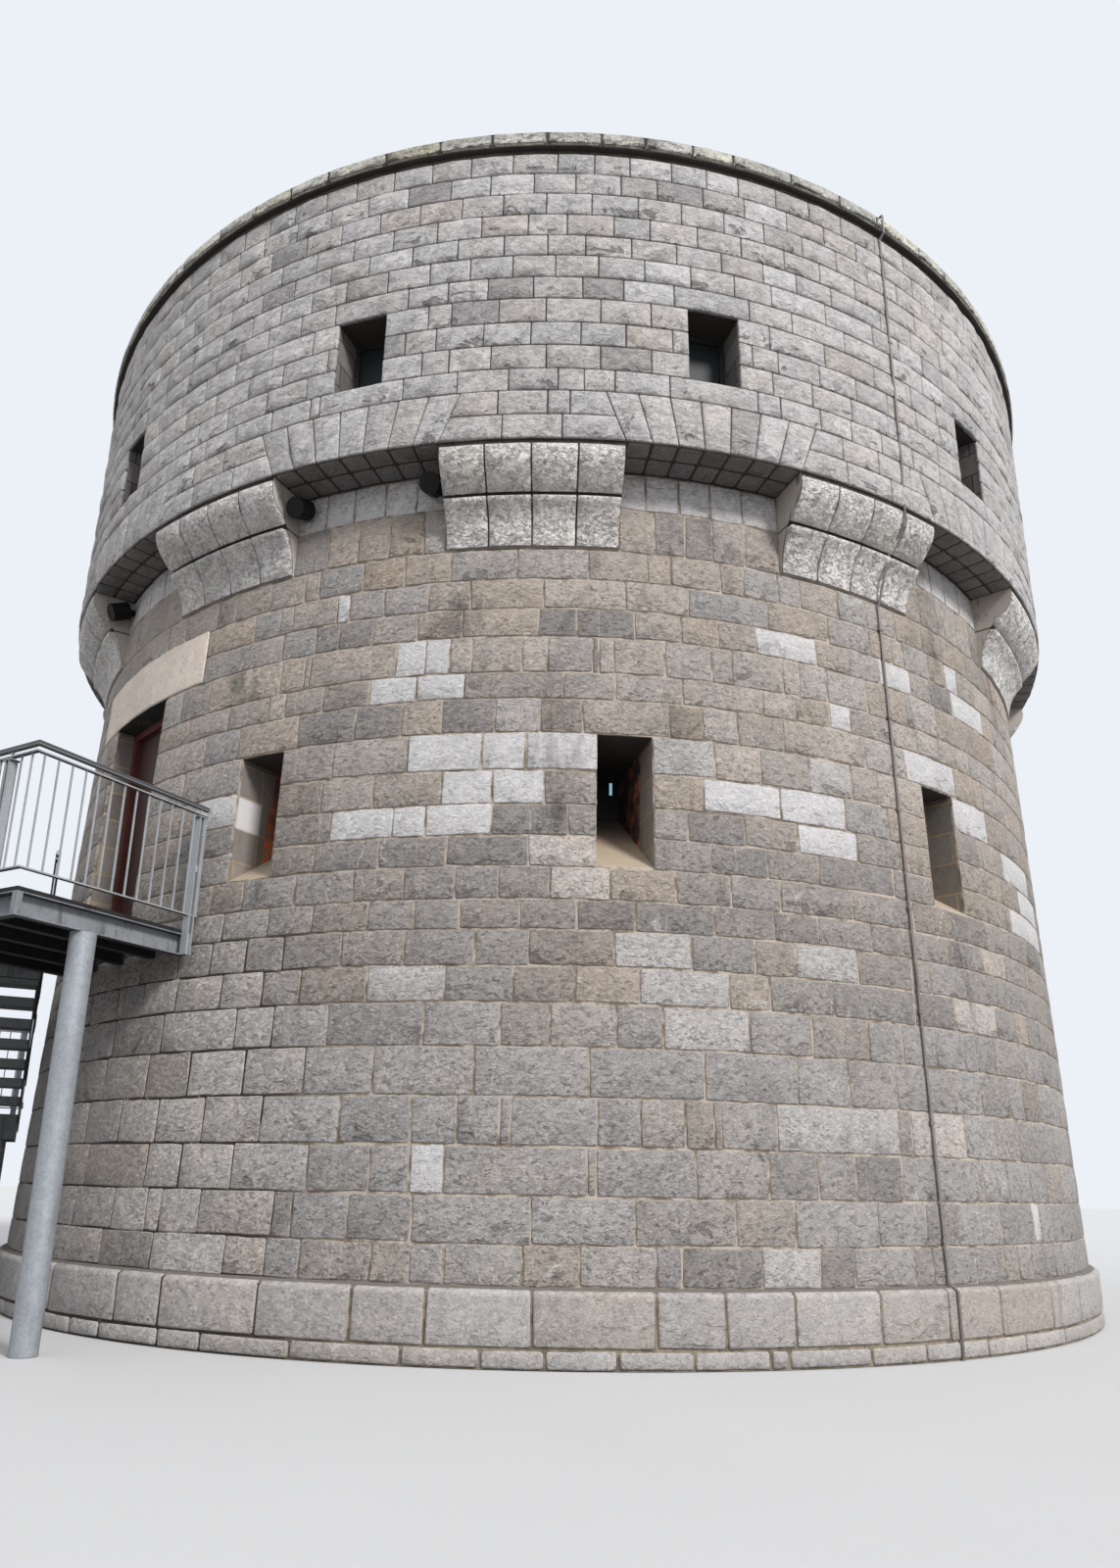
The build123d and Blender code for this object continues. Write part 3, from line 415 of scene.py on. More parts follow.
def make_worn_surface():
    """Weathered metal or paint: a base colour with clouds, spangles and dirt."""
    group, given, result = new_group(
        "worn_surface",
        [
            ("Base", COLOUR, rgb(0.4, 0.42, 0.45)),
            ("Cloud", COLOUR, rgb(0.55, 0.58, 0.6)),
            ("Dirt", COLOUR, rgb(0.1, 0.09, 0.08)),
            ("Cloud Scale", VALUE, 12.0),
            ("Dirt Share", VALUE, 0.4),
        ],
        [("Color", COLOUR), ("Height", VALUE), ("Roughness", VALUE)],
    )
    place = object_place(group)
    clouds = noise(group, place, given["Cloud Scale"], 5, 0.6)
    spangle = add_node(
        group, "ShaderNodeTexVoronoi", {"Vector": place, "Scale": 60.0, "Randomness": 1.0}
    ).outputs["Color"]
    spangle = add_node(group, "ShaderNodeSeparateColor", {"Color": spangle}).outputs[0]
    share = line(group, spangle, 0.35, minus(group, clouds, 0.18), clamp=True)
    colour = blend_colours(group, share, given["Base"], given["Cloud"])
    streaks = noise(group, stretch(group, place, (1, 1, 0.18)), 9.0, 5, 0.6, 0.3)
    dirt = times(group, window_of(group, streaks, 0.5, 0.72), given["Dirt Share"], clamp=True)
    colour = blend_colours(group, dirt, colour, given["Dirt"])
    group.links.new(colour, result["Color"])
    group.links.new(plus(group, clouds, streaks), result["Height"])
    group.links.new(line(group, clouds, 0.3, 0.4), result["Roughness"])
    return group


STONE_FACE = make_stone_face()
BROKEN_RELIEF = make_broken_relief()
MORTAR_FILL = make_mortar_fill()
BLOCK_REVEAL = make_block_reveal()
WORN_SURFACE = make_worn_surface()


def new_material(name, **sockets):
    """A material with its Principled shader, whose constant sockets are set by name."""
    material = bpy.data.materials.new(name)
    material.use_nodes = True
    shader = material.node_tree.nodes["Principled BSDF"]
    for label, value in sockets.items():
        shader.inputs[label.replace("_", " ")].default_value = value
    return material, material.node_tree, shader.inputs


def place_group(tree, group, values):
    """Puts a node group in a material with the material's own values. Returns its outputs."""
    return add_node(tree, "ShaderNodeGroup", values, node_tree=group).outputs


def add_bump(tree, shader, height, strength, distance):
    """Feeds the shader's normal with a bump from a height."""
    bump = add_node(
        tree, "ShaderNodeBump", {"Height": height, "Strength": strength, "Distance": distance}
    )
    tree.links.new(bump.outputs["Normal"], shader["Normal"])


def stone_material(name, relief, **values):
    """A material for stones that stand on a ring. The relief is the scale, flatness, lean and
    contrast of its broken planes."""
    material, tree, shader = new_material(name)
    face = place_group(tree, STONE_FACE, {label.replace("_", " "): v for label, v in values.items()})
    scale, flatness, lean, contrast = relief
    planes = place_group(
        tree, BROKEN_RELIEF, {"Scale": scale, "Flatness": flatness, "Lean": lean, "Contrast": contrast}
    )
    tree.links.new(shaded(tree, face["Color"], planes["Shade"]), shader["Base Color"])
    tree.links.new(face["Roughness"], shader["Roughness"])
    height = line(tree, planes["Height"], face["Calm"], face["Height"])
    add_bump(tree, shader, height, 1.0, 1.0)
    return material


WALL_GREY = rgb(0.482, 0.46, 0.452)
WALL_TAN = rgb(0.495, 0.41, 0.34)
NEW_STONE = rgb(0.68, 0.665, 0.67)
STAIN_DARK = rgb(0.07, 0.064, 0.06)
MORTAR_SAND = rgb(0.50, 0.435, 0.37)
DRUM_GREY = rgb(0.555, 0.542, 0.546)

wall_stone = stone_material(
    "wall_stone_face", (27.0, 1.8, 0.8, 0.26),
    Grey=WALL_GREY, Tan=WALL_TAN, New=NEW_STONE, Dark=STAIN_DARK, Smear=MORTAR_SAND,
    Strokes=19.0, Creases=0.16, Depth=0.0065, Veins=0.85, Stains=0.5, Hollows=0.45, Edge_Smear=1.0,
)
drum_stone = stone_material(
    "drum_stone_face", (13.0, 1.4, 0.5, 0.08),
    Grey=DRUM_GREY, Tan=rgb(0.54, 0.488, 0.45), New=NEW_STONE, Dark=rgb(0.13, 0.12, 0.115),
    Smear=rgb(0.5, 0.47, 0.45), Strokes=12.0, Creases=0.22, Depth=0.01, Veins=0.1, Stains=0.15, Hollows=0.7,
    Edge_Smear=0.15,
)
corbel_stone = stone_material(
    "corbel_stone_face", (26.0, 1.5, 1.35, 0.17),
    Grey=rgb(0.86, 0.835, 0.82), Tan=rgb(0.8, 0.745, 0.69), New=NEW_STONE, Dark=rgb(0.16, 0.15, 0.14),
    Smear=rgb(0.82, 0.8, 0.77), Strokes=15.0, Creases=0.42, Depth=0.016, Veins=0.1, Stains=0.1, Hollows=0.18,
    Edge_Smear=0.6,
)
plinth_stone = stone_material(
    "plinth_stone_face", (30.0, 1.3, 0.5, 0.2),
    Grey=rgb(0.50, 0.482, 0.478), Tan=rgb(0.465, 0.39, 0.325), New=NEW_STONE, Dark=rgb(0.12, 0.085, 0.06),
    Smear=MORTAR_SAND, Strokes=18.0, Creases=0.16, Depth=0.0045, Veins=0.3, Stains=0.4, Hollows=0.2,
    Edge_Smear=0.35,
)
coping_stone = stone_material(
    "coping_stone_face", (14.0, 1.3, 0.8, 0.25),
    Grey=rgb(0.64, 0.63, 0.6), Tan=rgb(0.54, 0.51, 0.4), New=rgb(0.6, 0.59, 0.55), Dark=rgb(0.14, 0.13, 0.1),
    Smear=rgb(0.46, 0.44, 0.37), Strokes=16.0, Creases=0.5, Depth=0.009, Veins=0.0, Stains=0.7, Hollows=0.5,
    Edge_Smear=0.5,
)
dressed_stone = stone_material(
    "dressed_stone_face", (30.0, 1.0, 0.1, 0.06),
    Grey=rgb(0.85, 0.745, 0.665), Tan=rgb(0.8, 0.68, 0.57), New=NEW_STONE, Dark=rgb(0.36, 0.28, 0.2),
    Smear=MORTAR_SAND, Strokes=30.0, Depth=0.0015, Veins=0.0, Stains=0.2, Hollows=0.1, Edge_Smear=0.3,
)

# Radii of the CAD rings, and the levels that their faces start from
WALL_FOOT, WALL_HEAD = 5.909, 5.690
WALL_LOW, WALL_TOP = 0.516, 7.223
WALL_TAPER = (WALL_FOOT - WALL_HEAD) / (WALL_TOP - WALL_LOW)
PLINTH_RADIUS, DRUM_RADIUS, COPING_RADIUS = 5.988, 6.116, 6.136
DRUM_LOW, COPING_LOW = 7.713, 10.403
# In the openings: how deep the stone goes before the brick, and the course of new stone
REVEAL_STONE_DEPTH = 0.37
PALE_COURSE = 4.2
PALE_PLACE = -2.4
# Below this level the joints on the left are black with grime
GRIME_LEVEL = 3.5
# Near-black: painted shade on undersides, and the dark patches in the deep brick
UNDERSIDE_SHADE_AND_PATCH_DARK = rgb(0.035, 0.031, 0.028)


def masonry_material(name, mortar, reveal, outer_radius, taper, low, brick=None, plaster=None, grimy=None):
    """The material of a CAD ring: mortar on its face, blocks in its openings, painted shade on its
    undersides and, where given, brick deeper in with near-black patches above a level beside one
    pale course, plaster on the sills, painted shade that darkens the openings deeper in, and dark
    joints on the left from one level down. The depth is how far a place lies behind the battered face."""
    material, tree, shader = new_material(name, Roughness=0.88)
    place = object_place(tree)
    level = along_axis(tree, place, "Z")
    face = line(tree, level, -taper, outer_radius + taper * low)
    depth = minus(tree, face, reach(tree, place))
    fill = place_group(tree, MORTAR_FILL, mortar)
    joints = fill["Color"]
    across = along_axis(tree, place, "X")
    left = window_of(tree, across, -1.2, -2.0)
    if grimy:
        black = times(tree, left, window_of(tree, level, grimy, grimy - 0.6))
        black = times(tree, black, window_of(tree, noise(tree, place, 5.0, 4), 0.28, 0.4))
        joints = blend_colours(tree, black, joints, rgb(0.035, 0.027, 0.02))
    blocks = place_group(tree, BLOCK_REVEAL, reveal)
    colour, height = blocks["Color"], blocks["Height"]
    if brick:
        pale = window_of(tree, size_of(tree, minus(tree, level, PALE_COURSE)), 0.15, 0.13)
        pale = times(tree, pale, window_of(tree, depth, 0.3, 0.26))
        beside = window_of(tree, size_of(tree, minus(tree, across, PALE_PLACE)), 0.35, 0.3)
        colour = blend_colours(tree, times(tree, pale, beside), colour, NEW_STONE)
        deep = place_group(tree, BLOCK_REVEAL, brick)
        # near-black patches on the deep brick above a level, lower and heavier on the right of the tower
        brick_patches = window_of(tree, noise(tree, place, 7.0, 4), 0.36, 0.56)
        raised = line(tree, left, -0.4, plus(tree, level, 0.4))
        brick_patches = times(tree, brick_patches, window_of(tree, raised, 3.9, 4.3))
        heavy = line(tree, left, -0.35, 0.95)
        patched_brick = blend_colours(tree, times(tree, brick_patches, heavy), deep["Color"], UNDERSIDE_SHADE_AND_PATCH_DARK)
        edge = line(tree, noise(tree, place, 4.0, 3), 0.2, REVEAL_STONE_DEPTH - 0.1)
        share = window_of(tree, minus(tree, depth, edge), -0.01, 0.01)
        colour = blend_colours(tree, share, colour, patched_brick)
    # surfaces that face down turn near-black: painted shade
    upward = facing_up(tree)
    colour = blend_colours(tree, window_of(tree, upward, -0.3, -0.6), colour, UNDERSIDE_SHADE_AND_PATCH_DARK)
    if plaster:
        clouds = noise(tree, place, 7.0, 5, 0.6)
        coat = blend_colours(tree, clouds, plaster[0], plaster[1])
        colour = blend_colours(tree, window_of(tree, upward, 0.3, 0.5), colour, coat)
        # deeper into an opening the colour darkens, to a quarter at 0.95 m: painted shade in the recess
        colour = shaded(tree, colour, line(tree, window_of(tree, depth, 0.3, 0.95), -0.75, 1.0))
    inside = window_of(tree, depth, 0.016, 0.028)
    colour = blend_colours(tree, inside, joints, colour)
    tree.links.new(colour, shader["Base Color"])
    add_bump(tree, shader, height, 0.5, 0.006)
    return material


BRICK = {
    "Stone": rgb(0.72, 0.17, 0.07), "Other Stone": rgb(0.46, 0.13, 0.07), "Mortar": rgb(0.34, 0.26, 0.19),
    "Length": 0.22, "Course": 0.075, "Joint": 0.008,
}
WALL_REVEAL = {
    "Stone": rgb(0.27, 0.245, 0.22), "Other Stone": rgb(0.15, 0.135, 0.12), "Mortar": rgb(0.36, 0.27, 0.18),
    "Length": 0.46, "Course": 0.29, "Joint": 0.012,
}
# The drum's window reveals are made dark, blocks and mortar alike: painted shade in the openings
DRUM_REVEAL = {
    "Stone": rgb(0.21, 0.195, 0.185), "Other Stone": rgb(0.13, 0.12, 0.115),
    "Mortar": rgb(0.05, 0.042, 0.036), "Length": 0.43, "Course": 0.2446, "Joint": 0.008,
}
wall_ring = masonry_material(
    "wall_mortar", {"Sand": MORTAR_SAND, "Dirt": rgb(0.13, 0.10, 0.075), "Dirt Share": 0.85},
    WALL_REVEAL, WALL_FOOT, WALL_TAPER, WALL_LOW, brick=BRICK,
    plaster=(rgb(0.50, 0.41, 0.31), rgb(0.36, 0.28, 0.2)), grimy=GRIME_LEVEL,
)
plinth_ring = masonry_material(
    "plinth_mortar", {"Sand": rgb(0.3, 0.25, 0.19), "Dirt": rgb(0.09, 0.075, 0.055), "Dirt Share": 0.8},
    WALL_REVEAL, PLINTH_RADIUS, 0.0, 0.0, grimy=GRIME_LEVEL,
)
drum_ring = masonry_material(
    "drum_mortar", {"Sand": rgb(0.10, 0.08, 0.065), "Dirt": rgb(0.03, 0.026, 0.022), "Dirt Share": 0.8},
    DRUM_REVEAL, DRUM_RADIUS, 0.013, DRUM_LOW,
)
coping_ring = masonry_material(
    "coping_mortar", {"Sand": rgb(0.05, 0.046, 0.04), "Dirt": rgb(0.02, 0.018, 0.016), "Dirt Share": 0.7},
    DRUM_REVEAL, COPING_RADIUS, 0.0, COPING_LOW,
)


# The level of the bed joint between the two stones of a corbel
CORBEL_BED = 6.83


def make_corbel_ring():
    """The CAD corbels: warm smooth cheeks with the bed joint between their two stones, and dark
    mortar where the surface faces outwards."""
    material, tree, shader = new_material("corbel_cheek", Roughness=0.85)
    place = object_place(tree)
    flat = stretch(tree, place, (1, 1, 0))
    outward = add_node(tree, "ShaderNodeVectorMath", {0: flat}, operation="NORMALIZE").outputs[0]
    normal = add_node(tree, "ShaderNodeNewGeometry").outputs["Normal"]
    facing = size_of(tree, dot_product(tree, outward, normal))
    clouds = noise(tree, place, 6.0, 5, 0.6)
    cheek = blend_colours(tree, clouds, rgb(0.45, 0.41, 0.37), rgb(0.58, 0.53, 0.48))
    streaks = noise(tree, stretch(tree, place, (1, 1, 0.3)), 9.0, 5, 0.6)
    cheek = blend_colours(tree, window_of(tree, streaks, 0.55, 0.72), cheek, rgb(0.17, 0.155, 0.14))
    level = along_axis(tree, place, "Z")
    above = size_of(tree, minus(tree, level, CORBEL_BED + 0.012))
    cheek = blend_colours(tree, window_of(tree, above, 0.012, 0.006), cheek, rgb(0.13, 0.09, 0.055))
    shade = {"Sand": rgb(0.06, 0.05, 0.042), "Dirt": rgb(0.02, 0.017, 0.015), "Dirt Share": 0.8}
    fill = place_group(tree, MORTAR_FILL, shade)
    colour = blend_colours(tree, window_of(tree, facing, 0.35, 0.5), cheek, fill["Color"])
    tree.links.new(colour, shader["Base Color"])
    add_bump(tree, shader, noise(tree, place, 45.0, 5), 0.25, 0.004)
    return material


corbel_ring = make_corbel_ring()


# The level above which the guardrail is its dark top rail
RAIL_UNDERSIDE = 4.236


def worn_finish(
    name, base, cloud, dirt, cloud_scale, dirt_share,
    bump=0.15, distance=0.002, under=None, above=None, **sockets
):
    """Weathered metal, paint or render: a base colour, clouds and dirt. Undersides may be darkened
    with painted shade, and what lies above a level may have another colour."""
    material, tree, shader = new_material(name, **sockets)
    worn = place_group(
        tree,
        WORN_SURFACE,
        {
            "Base": rgb(*base),
            "Cloud": rgb(*cloud),
            "Dirt": rgb(*dirt),
            "Cloud Scale": cloud_scale,
            "Dirt Share": dirt_share,
        },
    )
    colour = worn["Color"]
    if above:
        start, top_colour = above
        share = window_of(tree, along_axis(tree, object_place(tree), "Z"), start - 0.004, start)
        colour = blend_colours(tree, share, colour, rgb(*top_colour))
    # surfaces that face down take the under colour: painted shade
    if under:
        share = window_of(tree, facing_up(tree), -0.25, -0.7)
        colour = blend_colours(tree, share, colour, rgb(*under))
    tree.links.new(colour, shader["Base Color"])
    tree.links.new(worn["Roughness"], shader["Roughness"])
    add_bump(tree, shader, worn["Height"], bump, distance)
    return material


# Each finish: its base, its clouds, its dirt, the scale of the clouds and the share of the dirt
galvanised = worn_finish(
    "galvanised_steel_finish", (0.25, 0.27, 0.3), (0.42, 0.45, 0.49), (0.17, 0.16, 0.15), 14.0, 0.4,
    under=(0.05, 0.05, 0.052), Metallic=0.25,
)
guardrail_steel = worn_finish(
    "guardrail_finish", (0.33, 0.345, 0.365), (0.46, 0.48, 0.505), (0.16, 0.15, 0.14), 9.0, 0.35,
    under=(0.09, 0.09, 0.092), above=(RAIL_UNDERSIDE, (0.075, 0.078, 0.083)), Metallic=0.25,
)
# The stair's steel is darker than the galvanised steel: painted shade under the deck
shaded_stair_steel = worn_finish(
    "stair_steel_finish", (0.15, 0.158, 0.17), (0.24, 0.25, 0.265), (0.05, 0.046, 0.043), 8.0, 0.5,
    under=(0.03, 0.03, 0.032), Metallic=0.25,
)
channel_steel = worn_finish(
    "edge_channel_finish", (0.19, 0.2, 0.215), (0.33, 0.345, 0.37), (0.05, 0.045, 0.04), 4.0, 0.7,
    under=(0.03, 0.03, 0.031), Metallic=0.2,
)
# Near-black steel for the deck's plate and joists: painted shade under the deck
shaded_steel = worn_finish(
    "deck_underside_painted_shade", (0.02, 0.02, 0.021), (0.04, 0.04, 0.042), (0.012, 0.011, 0.01), 5.0, 0.5,
    bump=0.1, distance=0.001, Specular_IOR_Level=0.1,
)
conductor_tape = worn_finish(
    "conductor_finish", (0.16, 0.145, 0.135), (0.27, 0.25, 0.235), (0.07, 0.06, 0.05), 5.0, 0.6,
    bump=0.1, distance=0.001, Metallic=0.3,
)
lamp_black = worn_finish(
    "lamp_black", (0.004, 0.004, 0.004), (0.012, 0.012, 0.012), (0.02, 0.018, 0.016), 10.0, 0.4,
    bump=0.1, distance=0.001, Specular_IOR_Level=0.15,
)
frame_paint = worn_finish(
    "door_paint", (0.085, 0.02, 0.014), (0.13, 0.036, 0.026), (0.03, 0.012, 0.01), 6.0, 0.5, bump=0.2
)
# The leaf has the door's red paint made darker: painted shade in the doorway
shaded_leaf_paint = worn_finish(
    "door_leaf_paint", (0.03, 0.009, 0.007), (0.055, 0.015, 0.011), (0.012, 0.007, 0.006), 6.0, 0.5, bump=0.2
)
window_paint = worn_finish(
    "window_paint", (0.012, 0.012, 0.013), (0.025, 0.025, 0.026), (0.04, 0.038, 0.034), 10.0, 0.3,
    bump=0.1, distance=0.001,
)
floor_render = worn_finish(
    "floor_slab_finish", (0.33, 0.31, 0.285), (0.42, 0.4, 0.37), (0.14, 0.13, 0.11), 2.5, 0.6,
    bump=0.3, distance=0.004,
)


# A painted glow on the pane of the middle loophole stands for the daylight of a far slit: its span, in metres
SLIT_GLOW_SPAN = {"X": (0.679, 0.708), "Z": (4.55, 4.67)}


def glass_material(name, low, high, slit_glow=None):
    """Dark glass: a cloudy tint, dulled by dust. On it, a painted glow may stand for the daylight of a far
    slit.
    """
    material, tree, shader = new_material(name, Roughness=0.5, Specular_IOR_Level=0.3)
    place = object_place(tree)
    tint = blend_colours(tree, noise(tree, place, 3.0, 3), low, high)
    tree.links.new(tint, shader["Base Color"])
    if slit_glow:
        inside = 1.0
        for axis, (start, end) in slit_glow.items():
            off = size_of(tree, minus(tree, along_axis(tree, place, axis), (start + end) / 2))
            off = window_of(tree, off, (end - start) / 2, (end - start) / 2 - 0.004)
            inside = times(tree, off, inside)
        # the pane gives off a pale blue-green glow inside the span: painted light
        light = blend_colours(tree, inside, rgb(0.0, 0.0, 0.0), rgb(0.24, 0.45, 0.53))
        tree.links.new(light, shader["Emission Color"])
        shader["Emission Strength"].default_value = 1.0
    return material


window_glass = glass_material(
    "window_glass_finish", rgb(0.01, 0.014, 0.015), rgb(0.026, 0.034, 0.037)
)
slit_glass = glass_material(
    "slit_glass_finish", rgb(0.003, 0.003, 0.003), rgb(0.006, 0.006, 0.006), SLIT_GLOW_SPAN
)


def dress(names, material):
    """Gives CAD nodes a material."""
    for name in names:
        node = nodes[name]
        if not node.material_slots:
            node.data.materials.append(material)
        for slot in node.material_slots:
            slot.material = material


QUARTERS = ("front", "right", "back", "left")
RINGS = {"plinth": plinth_ring, "wall": wall_ring, "parapet": drum_ring, "coping": coping_ring}
for part, material in RINGS.items():
    dress([f"{part}_{quarter}" for quarter in QUARTERS], material)
dress(["machicolation_arches"], drum_ring)
dress(["lower_corbels", "upper_corbels"], corbel_ring)
dress(["door_lintel"], dressed_stone)
dress(["door_frame"], frame_paint)
dress(["door_leaf"], shaded_leaf_paint)
dress(["window_frames"], window_paint)
dress(["window_panes"], window_glass)
dress(["loophole_panes"], slit_glass)
dress(["ground_floor", "first_floor", "upper_floor", "roof_deck"], floor_render)
dress(["lightning_conductor"], conductor_tape)
dress(["flood_lamps"], lamp_black)
dress(["deck_columns", "landing_columns", "landing_guards", "stair_guards"], galvanised)
dress(["edge_channels"], channel_steel)
dress(["deck_plate", "deck_joists"], shaded_steel)
dress(["guardrail_side", "guardrail_front", "guardrail_left"], guardrail_steel)
dress(["stair_stringers", "stair_treads", "half_landing"], shaded_stair_steel)


# Stones


def value_noise(points, size, seed):
    """Smooth noise from -1 to 1: each corner of a point's cell has a number from a sine hash,
    and the eight numbers are blended by smoothsteps."""
    cell = points / size
    base = np.floor(cell)
    share = cell - base
    share = share * share * (3 - 2 * share)
    total = np.zeros(points.shape[:-1])
    for corner in np.ndindex(2, 2, 2):
        offset = np.array(corner)
        number = np.sin((base + offset) @ np.array([127.1, 311.7, 74.7]) + seed * 17.3) * 43758.5453
        weight = np.prod(np.where(offset == 1, share, 1 - share), axis=-1)
        total += weight * (number - np.floor(number))
    return 2 * total - 1


def round_the_axis(radius, bearing, level):
    """Points at a distance from the axis, on bearings in degrees and at levels."""
    angle = np.radians(bearing)
    return np.stack([radius * np.sin(angle), -radius * np.cos(angle), level + 0 * angle], axis=-1)


def new_piece(name, points, loops, sizes, material, tones, edges, rises):
    """Makes a mesh object at the origin from flat arrays, and lets it ride on the root body. Its
    points carry a tone (brightness, warmth, newness, variety), an edge mark and a rise."""
    mesh = bpy.data.meshes.new(name)
    mesh.vertices.add(len(points))
    mesh.vertices.foreach_set("co", np.asarray(points, np.float32).ravel())
    mesh.loops.add(len(loops))
    mesh.loops.foreach_set("vertex_index", np.asarray(loops, np.int32))
    mesh.polygons.add(len(sizes))
    starts = np.concatenate([[0], np.cumsum(sizes)[:-1]])
    mesh.polygons.foreach_set("loop_start", starts.astype(np.int32))
    mesh.polygons.foreach_set("use_smooth", np.full(len(sizes), True))
    mesh.update(calc_edges=True)
    attribute = mesh.attributes.new("stone_tone", "FLOAT_COLOR", "POINT")
    attribute.data.foreach_set("color", np.asarray(tones, np.float32).ravel())
    for label, values in (("stone_edge", edges), ("stone_rise", rises)):
        attribute = mesh.attributes.new(label, "FLOAT", "POINT")
        attribute.data.foreach_set("value", np.asarray(values, np.float32))
    mesh.materials.append(material)
    piece = bpy.data.objects.new(name, mesh)
    scene.collection.objects.link(piece)
    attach(piece, "root")
    return piece


def spaced(length, joint, arris, shoulder, between):
    """Positions across a stone, one row for each stone: its edge, the arris, the shoulder, the
    points between them, and the same again to its far edge."""
    net = length - joint
    arris = np.minimum(arris, 0.1 * net)
    shoulder = np.minimum(shoulder, 0.24 * net)
    inner = [net * share for share in between]
    rows = [0 * net, arris, shoulder, *inner, net - shoulder, net - arris, net]
    return joint / 2 + np.stack(rows, axis=-1)


def broken_planes(rng, u, v, facets):
    """A rough face: the lowest of three random planes, clipped. Each has a lift and two leans."""
    planes, each = [], (len(u), 1, 1)
    for _ in range(3):
        lean_x = rng.normal(0, 1.3, each) * facets
        lean_y = rng.normal(0, 1.0, each) * facets
        lift = rng.uniform(0.3, 1.0, each) * facets
        planes.append(lift + lean_x * (u - 0.5) + lean_y * (v - 0.5))
    return np.clip(np.minimum.reduce(planes), -0.35 * facets, facets)


def steps_from_rim(columns, rows):
    """How many steps each point of a grid is from the nearest edge of the grid."""
    column, row = np.arange(columns), np.arange(rows)
    sides = np.minimum(column, columns - 1 - column), np.minimum(row, rows - 1 - row)
    return np.minimum(*np.meshgrid(*sides, indexing="ij"))


def grid_faces(columns, rows, count):
    """The corners of every face of the stones, and how many each has: the quads of the grid, and
    one face that closes the back along the outermost ring."""
    index = np.arange(columns * rows).reshape(columns, rows)
    corners = [index[:-1, :-1], index[1:, :-1], index[1:, 1:], index[:-1, 1:]]
    quads = np.stack(corners, axis=-1).reshape(-1)
    rim = np.concatenate([index[0, :-1], index[:-1, -1], index[-1, :0:-1], index[:0:-1, 0]])
    one = np.concatenate([quads, rim])
    loops = (np.arange(count)[:, None] * columns * rows + one).reshape(-1)
    sizes = np.tile(np.append(np.full(len(quads) // 4, 4), len(rim)), count)
    return loops, sizes


def lay_stones(
    name, stones, tones, face, material, seed, bulge,
    joint=0.014, proud=0.0, facets=0.0, jitter=0.005, wobble=0.003,
    arris=0.005, arris_drop=0.004, shoulder=0.03, sink=0.03,
    across=(0.3, 0.5, 0.7), up=(0.5,), corner=0.007,
):
    """Lays stones on a ring. A stone is (left and right bearing at its foot, left and right
    bearing at its head, foot, head). Its face is a grid in the plane of the ring, pushed out by
    proud + bulge (1 - |2u-1|^3)(1 - |2v-1|^3) + the lowest of three random planes + noise. The
    outermost ring of the grid is pushed in to the mortar, and one face closes the back."""
    rng = np.random.default_rng(seed)
    stones = np.asarray(stones, float)
    count = len(stones)
    left_low, right_low, left_high, right_high, low, high = stones.T
    middle_radius = face((low + high) / 2)[0]
    width = np.radians((right_low - left_low + right_high - left_high) / 2) * middle_radius
    height = high - low
    along = spaced(width, joint, arris, shoulder, across)
    rise = spaced(height, joint, arris, shoulder, up)
    columns, rows = along.shape[1], rise.shape[1]
    x = np.repeat(along[:, :, None], rows, axis=2)
    y = np.repeat(rise[:, None, :], columns, axis=1)
    u = (x - joint / 2) / (width - joint)[:, None, None]
    v = (y - joint / 2) / (height - joint)[:, None, None]
    # corners pulled in, each corner moved at random, and edges that waver; u and v run 0 to 1
    rim_u = np.isin(np.arange(columns), (0, 1, columns - 2, columns - 1))
    rim_v = np.isin(np.arange(rows), (0, 1, rows - 2, rows - 1))
    at_corner = (rim_u[:, None] & rim_v[None, :]).astype(float)
    x += corner * at_corner * np.where(u < 0.5, 1, -1)
    y += corner * at_corner * np.where(v < 0.5, 1, -1)
    shift = rng.uniform(-jitter, jitter, (2, 4, count, 1, 1))
    for target, move in ((x, shift[0]), (y, shift[1])):
        target += move[0] * (1 - u) * (1 - v) + move[1] * u * (1 - v)
        target += move[2] * (1 - u) * v + move[3] * u * v
    rough_place = np.stack([x + rng.uniform(0, 90, (count, 1, 1)), y, 0 * x], axis=-1)
    x += wobble * value_noise(rough_place, 0.09, seed + 1) * rim_u[:, None]
    y += wobble * value_noise(rough_place, 0.09, seed + 2) * rim_v[None, :]
    # how far the face stands out
    crown = (1 - np.abs(2 * u - 1) ** 3) * (1 - np.abs(2 * v - 1) ** 3)
    out = proud + bulge * crown + rng.uniform(-0.3, 0.3, (count, 1, 1)) * bulge
    out += 0.4 * bulge * value_noise(rough_place, 0.13, seed + 3)
    if facets:
        out += broken_planes(rng, u, v, facets) * np.minimum(1, 2.2 * crown + 0.15)
    ring = steps_from_rim(columns, rows)
    out = np.where(ring == 1, np.minimum(out, proud) - arris_drop, out)
    out = np.where(ring == 0, -sink, out)
    share = y / height[:, None, None]
    left = left_low[:, None, None] * (1 - share) + left_high[:, None, None] * share
    right = right_low[:, None, None] * (1 - share) + right_high[:, None, None] * share
    bearing = left + (right - left) * x / width[:, None, None]
    radius, level, out_way, up_way = face(low[:, None, None] + y)
    points = round_the_axis(radius + out * out_way, bearing, level + out * up_way)
    loops, sizes = grid_faces(columns, rows, count)
    tone = np.repeat(np.asarray(tones, float)[:, None, :], columns * rows, axis=1).reshape(-1, 4)
    edge = np.tile((ring <= 1).astype(float).reshape(-1), count)
    rise = np.clip(v, 0, 1).reshape(-1)
    return new_piece(name, points.reshape(-1, 3), loops, sizes, material, tone, edge, rise)


